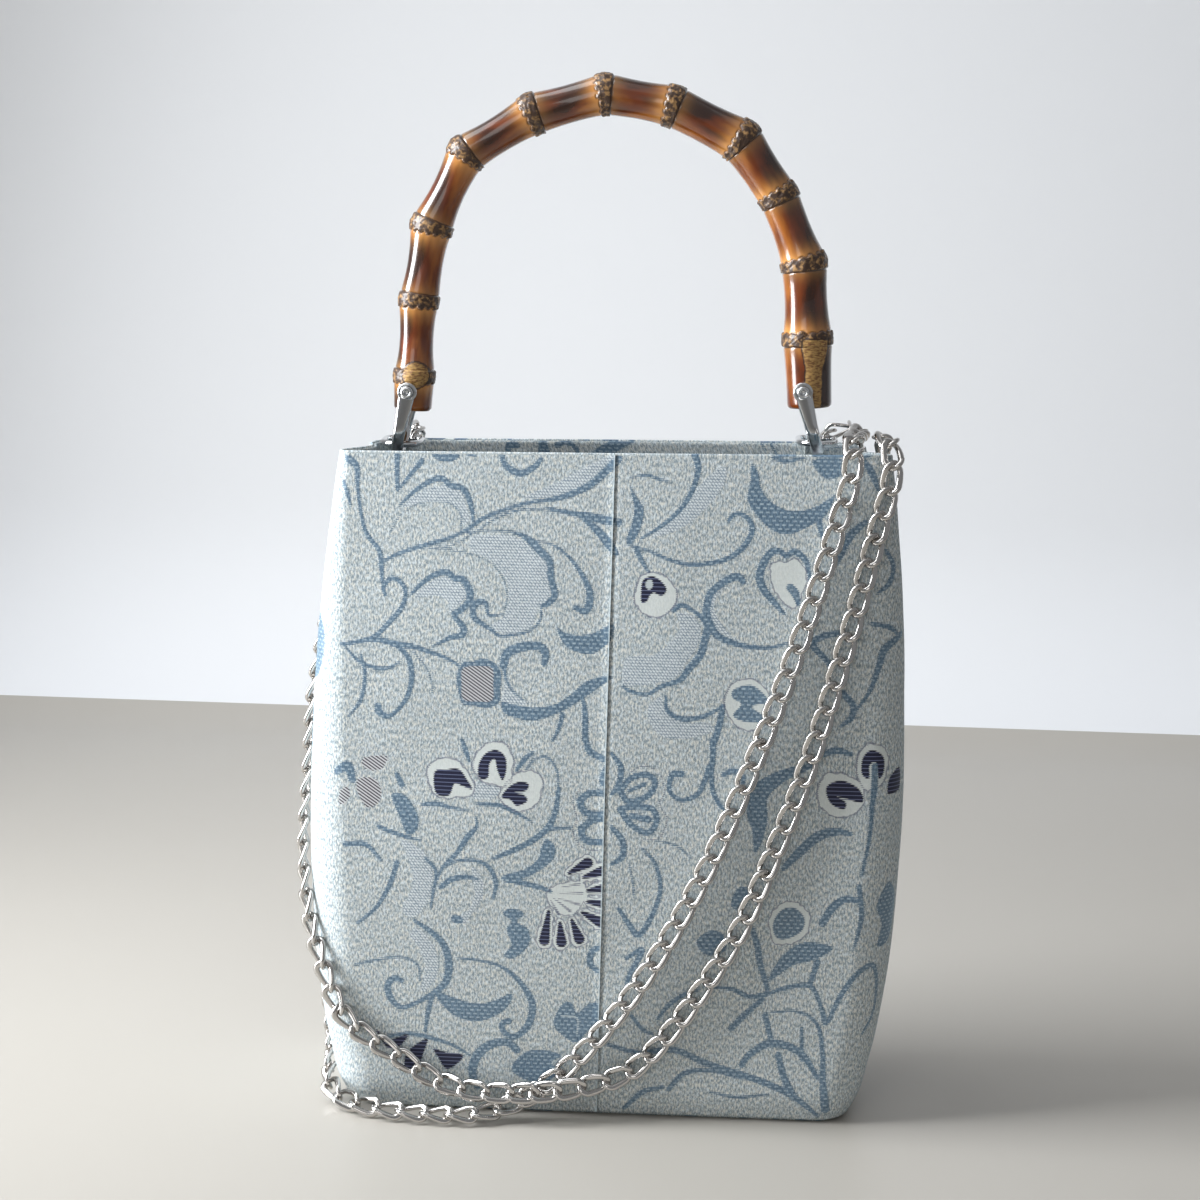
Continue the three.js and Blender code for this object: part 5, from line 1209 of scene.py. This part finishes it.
CHAIN_STOPS = [
    (80.6, 13.9, 261.3, 1, 0, 0),
    (82.9, 22.8, 264, 1, 0, 0),
    (91, 23.6, 265.6, 0.5, 0.5, 0.7),
    (94.6, 14.4, 265.4, 0.41, 0, 0.91),
    (93, 3.6, 264.8, 0.1, 0, 1),
    (90.6, -8, 264.6, 0, 0, 1),
    (89.6, -19, 265, 0, -0.2, 0.98),
    (89.4, -29, 263.2, 0, -0.76, 0.65),
    (89, -32.8, 255, 0, -1, 0.1),
    (88.4, -31.1, 249.7, 0.03, -1, 0),
    (83.5, -33.7, 231.5, 0.03, -1, 0),
    (77.3, -36.8, 209.3, 0.02, -1, 0),
    (70.7, -39.2, 188, 0.03, -1, 0),
    (62.3, -42.3, 162.8, 0.03, -1, 0),
    (52, -44.1, 134.5, 0.02, -1, 0),
    (42.6, -45.4, 110.4, 0.02, -1, 0),
    (29.4, -45.5, 82.2, 0.01, -1, 0),
    (14.5, -45.2, 55.6, 0.01, -1, 0),
    (-2.6, -43.9, 32, 0, -1, 0),
    (-19, -42.5, 14.5, 0, -1, 0),
    (-33, -44.6, 6.6, 0, -0.76, 0.65),
    (-46.5, -50, 4.2, 0, -0.3, 0.95),
    (-61, -50.4, 3.9, 0, -0.2, 0.98),
    (-78, -48.4, 4, -0.1, -0.3, 0.95),
    (-94, -43, 4.6, -0.35, -0.61, 0.71),
    (-104.6, -32.4, 6.4, -0.78, -0.53, 0.34),
    (-107.4, -11.4, 15.9, -1, 0, 0),
    (-110.7, 0, 31.7, -1, 0, 0),
    (-113.8, 5.8, 51.5, -1, 0, 0),
    (-115.8, 9.4, 75.3, -1, 0, 0),
    (-117.2, 15.9, 99.1, -1, 0.03, 0),
    (-116.7, 26.8, 120.9, -0.95, 0.3, 0),
    (-100.4, 41.8, 138.9, -0.3, 0.95, 0),
    (-47.7, 43.1, 155.4, -0.02, 1, 0),
    (7.8, 41.9, 172.1, 0, 1, 0),
    (53.7, 39.2, 190.8, 0.02, 1, 0),
    (90.2, 37, 210.5, 0.12, 0.99, 0),
    (105.7, 25.7, 225.8, 0.85, 0.53, 0),
    (103, 3.1, 240.9, 0.92, -0.4, 0),
    (100.2, -4.6, 251.6, 0.99, 0, 0.15),
    (101.6, -9.2, 260.6, 0.86, 0, 0.51),
    (100.4, -17.4, 265.8, 0.2, 0, 0.98),
    (102.4, -26.4, 265.6, 0.1, -0.45, 0.89),
    (104, -32.6, 259.6, 0.1, -0.95, 0.3),
    (103.4, -33.6, 250.8, 0.1, -1, 0),
    (99.4, -33.1, 233.8, 0.06, -1, 0),
    (95.2, -35.6, 215.6, 0.06, -1, 0),
    (90.6, -37.8, 196.4, 0.06, -1, 0),
    (84.2, -40.6, 172.1, 0.05, -1, 0),
    (73.8, -43.4, 136.3, 0.03, -1, 0),
    (64.2, -44.9, 109.5, 0.03, -1, 0),
    (53.5, -45.1, 81.3, 0.02, -1, 0),
    (39.5, -45, 56.2, 0.02, -1, 0),
    (24, -43.8, 33.1, 0.01, -1, 0),
    (10.4, -43, 19.5, 0, -1, 0),
    (-3.2, -45.6, 15.8, 0, -1, 0),
    (-18.6, -48.8, 13.8, 0, -0.95, 0.3),
    (-35, -48.6, 12.6, 0, -0.86, 0.51),
    (-49, -46.6, 12.6, 0, -0.95, 0.3),
    (-62.6, -43.4, 15.2, 0, -1, 0.1),
    (-77.8, -42.5, 24.4, -0.05, -1, 0),
    (-98, -41.1, 37.7, -0.36, -0.93, 0),
    (-106.2, -38.8, 55.5, -0.61, -0.79, 0),
    (-113.5, -32, 75.3, -0.89, -0.45, 0),
    (-117.4, -21.9, 101.1, -1, -0.1, 0),
    (-117, -13.8, 128.8, -1, 0.04, 0),
    (-116.1, -10.2, 156.6, -1, 0.07, 0),
    (-112.3, -4.7, 184.4, -0.99, 0.11, 0),
    (-109.2, 1.4, 206.2, -1, -0.01, 0),
    (-107.6, 11, 224.1, -1, 0.05, 0),
    (-99, 25.5, 238.1, -0.75, 0.66, 0),
    (-83, 32.6, 251, 0, 1, 0.1),
    (-81, 31.4, 259.6, 0, 0.8, 0.6),
    (-79.8, 22.6, 260.2, 1, 0, 0),
    (-80.8, 13.9, 256.3, 1, 0, 0),
]
CHAIN_RUNS = [
    ("chain_over_right_corner", 6), ("chain_front_inner_upper", 14), ("chain_front_inner_lower", 16),
    ("chain_at_front_foot", 9), ("chain_round_left_foot", 10), ("chain_left_rear", 12),
    ("chain_across_back_low", 12), ("chain_across_back_high", 13), ("chain_over_right_side", 8),
    ("chain_front_outer_upper", 14), ("chain_front_outer_lower", 14), ("chain_front_foot_outer", 9),
    ("chain_left_front", 12), ("chain_to_left_ring", 16),
]
RUN_SLACK = 0.8  # how far each run starts before the end of the last one
END_LINKS = 3  # how many links at each end are of thinner wire
LINK_WIRE = 1.05  # half the wire's thickness
LINK_FACE = 1.28  # half the wire's width
END_WIRE = 0.78
LINK_HALF_LENGTH = 5.65  # to the middle of the wire
LINK_HALF_WIDTH = 3.1
LINK_TWIST = math.radians(38)


class ChainRoute:
    """A centripetal curve through the stops, measured along its length."""

    def __init__(self, stops):
        stops = np.array(stops, dtype=float)
        self.at, self.out = stops[:, :3], stops[:, 3:]
        self.count = len(stops)
        first = 2 * self.at[0] - self.at[1]
        last = 2 * self.at[-1] - self.at[-2]
        self.padded = np.vstack([first, self.at, last])
        self.t = np.linspace(0, 1, 8001)
        fine = np.array([self.point(t) for t in self.t])
        self.run = np.concatenate([[0], np.cumsum(np.linalg.norm(np.diff(fine, axis=0), axis=1))])
        self.length = self.run[-1]

    def point(self, t):
        place = min(max(t, 0.0), 1.0) * (self.count - 1)
        low = min(int(place), self.count - 2)
        w = place - low
        a, b, c, d = self.padded[low:low + 4]
        gaps = [max(np.linalg.norm(q - p), 1e-6) ** 0.5 for p, q in ((a, b), (b, c), (c, d))]
        start = (b - a) / gaps[0] - (c - a) / (gaps[0] + gaps[1]) + (c - b) / gaps[1]
        stop = (c - b) / gaps[1] - (d - b) / (gaps[1] + gaps[2]) + (d - c) / gaps[2]
        start, stop = start * gaps[1], stop * gaps[1]
        return (b + start * w + (3 * (c - b) - 2 * start - stop) * w**2
                + (2 * (b - c) + start + stop) * w**3)

    def joint(self, travelled):
        t = np.interp(travelled, self.run, self.t)
        place = t * (self.count - 1)
        low = min(int(place), self.count - 2)
        out = self.out[low] + (self.out[low + 1] - self.out[low]) * (place - low)
        return self.point(t), out / np.linalg.norm(out)


def link_form(face, wire):
    """One curb link: an oval of wire, twisted end to end and a little flattened on its face."""
    straight = LINK_HALF_LENGTH - LINK_HALF_WIDTH
    path = [(straight + LINK_HALF_WIDTH * math.cos(a), LINK_HALF_WIDTH * math.sin(a), 0.0)
            for a in np.radians(np.linspace(-90, 90, 13))]
    path += [(-x, -y, 0.0) for x, y, _ in path]
    middle = [(0.0, LINK_HALF_WIDTH, 0.0), (0.0, -LINK_HALF_WIDTH, 0.0)]
    path = np.array(path[:13] + middle[:1] + path[13:] + middle[1:])
    points, faces = wire_loop(path, face, wire, 12)
    turn = LINK_TWIST * points[:, 0] / LINK_HALF_LENGTH
    y = points[:, 1] * np.cos(turn) - points[:, 2] * np.sin(turn)
    z = points[:, 1] * np.sin(turn) + points[:, 2] * np.cos(turn)
    return np.stack([points[:, 0], y, z], axis=1), faces


def turned_about(vector, axis, angle):
    return np.array(Matrix.Rotation(angle, 3, Vector(axis)) @ Vector(vector))


def chain(nickel):
    """The links along the route, as one piece for each run of the chain."""
    route = ChainRoute(CHAIN_STOPS)
    form, form_faces = link_form(LINK_FACE, LINK_WIRE)
    end_form, _ = link_form(END_WIRE, END_WIRE)
    total = sum(count for _, count in CHAIN_RUNS)
    slack = (len(CHAIN_RUNS) - 1) * RUN_SLACK
    pitch = (route.length + slack) / total
    travelled = 0.0
    number = 0
    for name, count in CHAIN_RUNS:
        links = []
        for _ in range(count):
            start, out_start = route.joint(travelled)
            stop, out_stop = route.joint(travelled + pitch)
            along = unit(stop - start)
            out = out_start + out_stop
            # The first and the last link are turned about their length to hold the rings' bars.
            if number == 0:
                out = turned_about((1, 0, 0), along, LINK_TWIST)
            if number == total - 1:
                out = turned_about((1, 0, 0), along, -LINK_TWIST)
            across = unit(np.cross(out, along))
            turn = np.stack([along, across, np.cross(along, across)])
            at_end = number < END_LINKS or number >= total - END_LINKS
            links.append(((start + stop) / 2 + (end_form if at_end else form) @ turn, form_faces))
            travelled += pitch
            number += 1
        travelled -= RUN_SLACK
        points, faces = joined(links)
        new_piece(name, points, faces, nickel, "bag")


# The finishes

def brocade_cloth():
    """Silver-grey crepe ground with satin figures in slate blue, pale blue, navy and violet."""
    m = Recipe("brocade", (0.5, 0.54, 0.54), 0.72)
    cloth = m.place_on()
    u, v, _ = m.split(cloth)
    # The threads.
    weft = m.wave(v, 0.7)
    row = m.maths("FLOOR", m.maths("DIVIDE", v, 1.5))
    dash = m.wave(m.maths("MULTIPLY_ADD", row, 1.2, u), 2.6)
    thread = m.wave(v, 1.5, -math.pi / 2)
    slub = m.maths("MULTIPLY_ADD", m.noise(cloth, 0.9, 1.0), 1.6, -0.25, clamp=True)
    dashes = m.maths("MULTIPLY", m.ramp(dash, 0.2, 0.62), m.ramp(thread, 0.42, 0.8))
    dashes = m.maths("MULTIPLY", dashes, slub)
    twill = m.wave(m.maths("MULTIPLY_ADD", v, 1.5, u), 1.9)
    crepe = m.noise(m.place_on((1.5, 0.62, 1)), 1.0, 2.0, 0.7)
    warmth = m.noise(m.place_on((1.2, 0.8, 1)), 0.7, 1.0)
    clouds = m.noise(cloth, 0.045, 3.0)
    # The ground.
    fleck = m.ramp(crepe, 0.34, 0.66)
    light = m.mix(m.ramp(warmth, 0.4, 0.6), (0.70, 0.76, 0.78), (0.78, 0.77, 0.70))
    ground = m.mix(fleck, (0.19, 0.245, 0.275), light)
    ground = m.mix(m.maths("MULTIPLY", clouds, 0.3), ground, (0.40, 0.46, 0.50))
    serrate = m.maths("MULTIPLY_ADD", weft, 0.5, -0.25)

    def inside(layer, soft=0.16):
        edge = m.maths("ADD", m.attribute(layer), serrate)
        return m.maths("SUBTRACT", 1.0, m.ramp(edge, -soft, soft))

    # The figures, one layer over another.
    tint = inside("tint")
    slant = m.wave(m.maths("MULTIPLY_ADD", v, 0.8, u), 1.25)
    fine = m.ramp(m.maths("MULTIPLY", slant, m.wave(v, 1.1)), 0.06, 0.36)
    fine = m.maths("MULTIPLY_ADD", fleck, 0.35, m.maths("MULTIPLY", fine, 0.75), clamp=True)
    tinted = m.mix(fine, (0.20, 0.26, 0.32), (0.70, 0.75, 0.77))
    colour = m.mix(m.maths("MULTIPLY", tint, 0.85), ground, tinted)
    pale = inside("pale")
    colour = m.mix(m.maths("MULTIPLY", pale, 0.85), colour, (0.66, 0.70, 0.68))
    wobble = m.maths("MULTIPLY_ADD", m.noise(cloth, 0.35, 1.0), 2.4, -1.2)
    rim = m.maths("ABSOLUTE", m.maths("ADD", m.attribute("pale"), wobble))
    outline = m.ramp(rim, 0.42, 0.16)
    blue = inside("blue")
    deep = m.ramp(m.maths("MULTIPLY", m.attribute("blue"), -1.0), 0.25, 0.8)
    gaps = m.maths("MULTIPLY", dashes, m.maths("MULTIPLY_ADD", deep, 0.45, 0.5))
    blue_thread = m.mix(fleck, (0.040, 0.095, 0.160), (0.115, 0.205, 0.295))
    blue_thread = m.mix(gaps, blue_thread, (0.48, 0.58, 0.64))
    colour = m.mix(m.maths("MULTIPLY", blue, 0.95), colour, blue_thread)
    violet = inside("violet")
    violet_thread = m.mix(m.ramp(twill, 0.35, 0.65), (0.075, 0.065, 0.085), (0.58, 0.60, 0.61))
    colour = m.mix(violet, colour, violet_thread)
    edge_line = inside("edge", 0.12)
    edge_line = m.maths("MAXIMUM", edge_line, m.maths("MULTIPLY", outline, 0.7))
    colour = m.mix(m.maths("MULTIPLY", edge_line, 0.8), colour, (0.08, 0.09, 0.16))
    navy = inside("navy")
    navy_thread = m.mix(m.ramp(m.wave(v, 1.5), 0.82, 0.98), (0.008, 0.010, 0.035), (0.13, 0.15, 0.26))
    colour = m.mix(navy, colour, navy_thread)
    colour = m.mix(m.maths("MULTIPLY", inside("blue2"), 0.9), colour, blue_thread)
    colour = m.mix(m.maths("MULTIPLY", inside("pale2"), 0.85), colour, (0.60, 0.66, 0.66))
    # Painted highlight: the pale line where the seam's folded edge catches light.
    colour = m.mix(m.attribute("fold_highlight"), colour, (0.66, 0.77, 0.81))
    m.set("Base Color", colour)
    # The satin figures shine and stand up a little.
    figure = m.maths("MAXIMUM", blue, navy)
    m.set("Roughness", m.maths("MULTIPLY_ADD", figure, -0.32, 0.74))
    m.set("Specular IOR Level", m.maths("MULTIPLY_ADD", blue, 0.4, 0.45))
    m.set("Sheen Weight", m.maths("MULTIPLY_ADD", blue, 0.5, 0.15))
    m.set("Sheen Tint", (0.60, 0.84, 1.0, 1))
    m.set("Sheen Roughness", 0.42)
    raised = m.maths("MULTIPLY", crepe, 0.9)
    raised = m.maths("MULTIPLY_ADD", m.maths("MAXIMUM", figure, tint), 0.5, raised)
    raised = m.maths("MULTIPLY_ADD", dashes, 0.25, raised)
    m.bump(raised, 0.55, 0.2)
    return m.material


def lining_cotton():
    """Pale blue-grey cotton with uneven threads."""
    m = Recipe("lining_cotton", (0.62, 0.66, 0.69), 0.9)
    cloth = m.place_on()
    u, v, _ = m.split(cloth)
    threads = m.maths("MULTIPLY", m.wave(u, 0.5), m.wave(v, 0.5))
    slub = m.noise(m.place_on((0.4, 2.0, 1)), 0.8, 3.0)
    m.set("Base Color", m.mix(slub, (0.48, 0.52, 0.56), (0.66, 0.69, 0.71)))
    m.bump(m.maths("MULTIPLY_ADD", slub, 0.6, threads), 0.35, 0.12)
    m.set("Sheen Weight", 0.15)
    return m.material


def board_card():
    """Dark pulp board."""
    m = Recipe("board_card", (0.16, 0.14, 0.12), 0.85)
    pulp = m.noise(m.place_on(source="Object"), 0.7, 5.0, 0.7)
    m.set("Base Color", m.mix(pulp, (0.10, 0.09, 0.075), (0.22, 0.20, 0.17)))
    m.bump(pulp, 0.3, 0.1)
    return m.material


def bamboo_lacquer():
    """Flamed bamboo root under gloss: honey inside the bend, red-brown, and near black outside."""
    m = Recipe("bamboo_lacquer", (0.3, 0.1, 0.02), 0.25)
    outer = m.attribute("outer")
    around = m.node("ShaderNodeCombineXYZ")
    m.put(around.inputs[0], m.maths("MULTIPLY", m.attribute("along"), 0.045))
    m.put(around.inputs[1], outer)
    m.put(around.inputs[2], m.attribute("front"))
    broad = m.noise(around.outputs[0], 1.3, 1.5, 0.4)
    streak = m.noise(around.outputs[0], 7.0, 3.0, 0.6)
    # The straight lengths, paler beside each node.
    flame = m.maths("MULTIPLY_ADD", outer, 0.34, m.maths("MULTIPLY", broad, 1.5))
    flame = m.maths("MULTIPLY_ADD", streak, 0.16, flame)
    body = m.mix(m.ramp(flame, 0.30, 0.76), (0.37, 0.115, 0.014), (0.14, 0.027, 0.004))
    body = m.mix(m.ramp(flame, 0.72, 1.12), body, (0.030, 0.009, 0.004))
    before = m.maths("MULTIPLY", m.attribute("before_node"), m.maths("MULTIPLY_ADD", outer, -0.25, 0.75))
    colour = m.mix(before, body, (0.72, 0.33, 0.085))
    after = m.maths("MULTIPLY", m.attribute("after_node"), 0.55)
    colour = m.mix(after, colour, (0.42, 0.21, 0.065))
    # The nodes' bands, the scars and the cut ends.
    pits = m.noise(m.place_on(source="Object"), 0.55, 3.0, 0.6)
    band = m.attribute("band")
    knobs = m.mix(m.ramp(pits, 0.47, 0.66), (0.050, 0.023, 0.011), (0.36, 0.20, 0.075))
    colour = m.mix(band, colour, knobs)
    fibre = m.mix(m.ramp(m.noise(m.place_on((0.5, 1, 1.6), "Object"), 1.2, 3.0), 0.36, 0.6),
                  (0.20, 0.09, 0.03), (0.50, 0.30, 0.10))
    scar_edge = m.maths("MULTIPLY_ADD", pits, 1.1, m.attribute("scar"))
    scar = m.ramp(scar_edge, 0.9, 0.3)
    scar_line = m.ramp(m.maths("ABSOLUTE", m.maths("SUBTRACT", scar_edge, 0.75)), 0.55, 0.15)
    colour = m.mix(scar, colour, fibre)
    crease = m.maths("MULTIPLY", m.attribute("crease"), m.maths("SUBTRACT", 1.0, scar))
    dark = m.maths("MAXIMUM", crease, scar_line)
    colour = m.mix(m.maths("MULTIPLY", dark, 0.85), colour, (0.028, 0.012, 0.007))
    cut = m.ramp(m.attribute("end"), 1.0, -0.4)
    colour = m.mix(cut, colour, m.mix(pits, (0.06, 0.025, 0.01), (0.30, 0.16, 0.06)))
    m.set("Base Color", colour)
    # The gloss is broken on the bands, the scars and the ends.
    rough = m.maths("MAXIMUM", band, m.maths("MAXIMUM", scar, cut))
    m.set("Roughness", m.maths("MULTIPLY_ADD", rough, 0.22, 0.24))
    m.set("Coat Weight", m.maths("MULTIPLY_ADD", rough, -0.6, 1.0))
    m.set("Coat Roughness", 0.05)
    grain = m.maths("MULTIPLY", streak, 0.2)
    grain = m.maths("MULTIPLY_ADD", rough, m.maths("MULTIPLY", pits, 1.8), grain)
    m.bump(grain, 0.4, 0.4)
    return m.material


def plated_metal(name, colour, roughness):
    """Bright plate with faint rub marks."""
    m = Recipe(name, colour, roughness, 1.0)
    rub = m.noise(m.place_on((1, 1, 0.35), "Object"), 0.9, 5.0, 0.7)
    haze = m.noise(m.place_on(source="Object"), 0.12, 2.0)
    worn = m.maths("ADD", rub, haze)
    m.set("Roughness", m.maths("MULTIPLY_ADD", worn, roughness * 0.7, roughness * 0.35))
    m.bump(rub, 0.06, 0.06)
    return m.material


def floor_finish():
    """A pale warm floor with soft unevenness."""
    m = Recipe("pale_floor", (0.43, 0.405, 0.365), 0.4)
    soft = m.noise(m.place_on(source="Object"), 0.004, 3.0)
    m.set("Base Color", m.mix(soft, (0.415, 0.39, 0.35), (0.445, 0.42, 0.38)))
    return m.material


def wall_finish():
    """A matt white wall."""
    return Recipe("white_wall", (0.80, 0.81, 0.83), 0.8).material


FLOOR_FACES = 4  # the faces of the sweep that are floor, counted from the front


def lay_floor():
    """A pale floor that curves up into a white wall behind the bag."""
    reach, start, bend, top = 7.0, 0.60, 0.14, 4.0
    turn = np.linspace(0, math.pi / 2, 13)
    profile = [(-reach, 0.0), (start, 0.0)]
    profile += [(start + bend * math.sin(a), bend * (1 - math.cos(a))) for a in turn[1:]]
    profile.append((start + bend, top))
    mesh = bpy.data.meshes.new("floor")
    points = [(side * reach, y, z) for y, z in profile for side in (-1, 1)]
    mesh.from_pydata(points, [], grid_faces(len(profile), 2).tolist())
    mesh.polygons.foreach_set("use_smooth", [True] * len(mesh.polygons))
    mesh.materials.append(floor_finish())
    mesh.materials.append(wall_finish())
    for face in mesh.polygons:
        face.material_index = int(face.index >= FLOOR_FACES)
    floor = bpy.data.objects.new("floor", mesh)
    bpy.context.scene.collection.objects.link(floor)


# Everything together

def build():
    place_camera()
    light_the_room()
    lay_floor()
    brocade = brocade_cloth()
    chrome = plated_metal("polished_chrome", (0.72, 0.73, 0.74), 0.09)
    nickel = plated_metal("polished_nickel", (0.58, 0.56, 0.54), 0.12)
    outer_half(-1, "outer_left_half", brocade)
    outer_half(1, "outer_right_half", brocade)
    mouth_facing(brocade)
    plain_lining(lining_cotton())
    base_panel(brocade)
    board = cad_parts["base_board"]
    board.data.materials.clear()
    board.data.materials.append(board_card())
    for side in ("left", "right"):
        ring_tab(side, brocade)
        handle_ring(side, chrome)
        shackle(side, chrome)
        screw(side, chrome)
    bamboo_handle(bamboo_lacquer())
    chain(nickel)


build()
bpy.context.scene.view_settings.view_transform = "Standard"
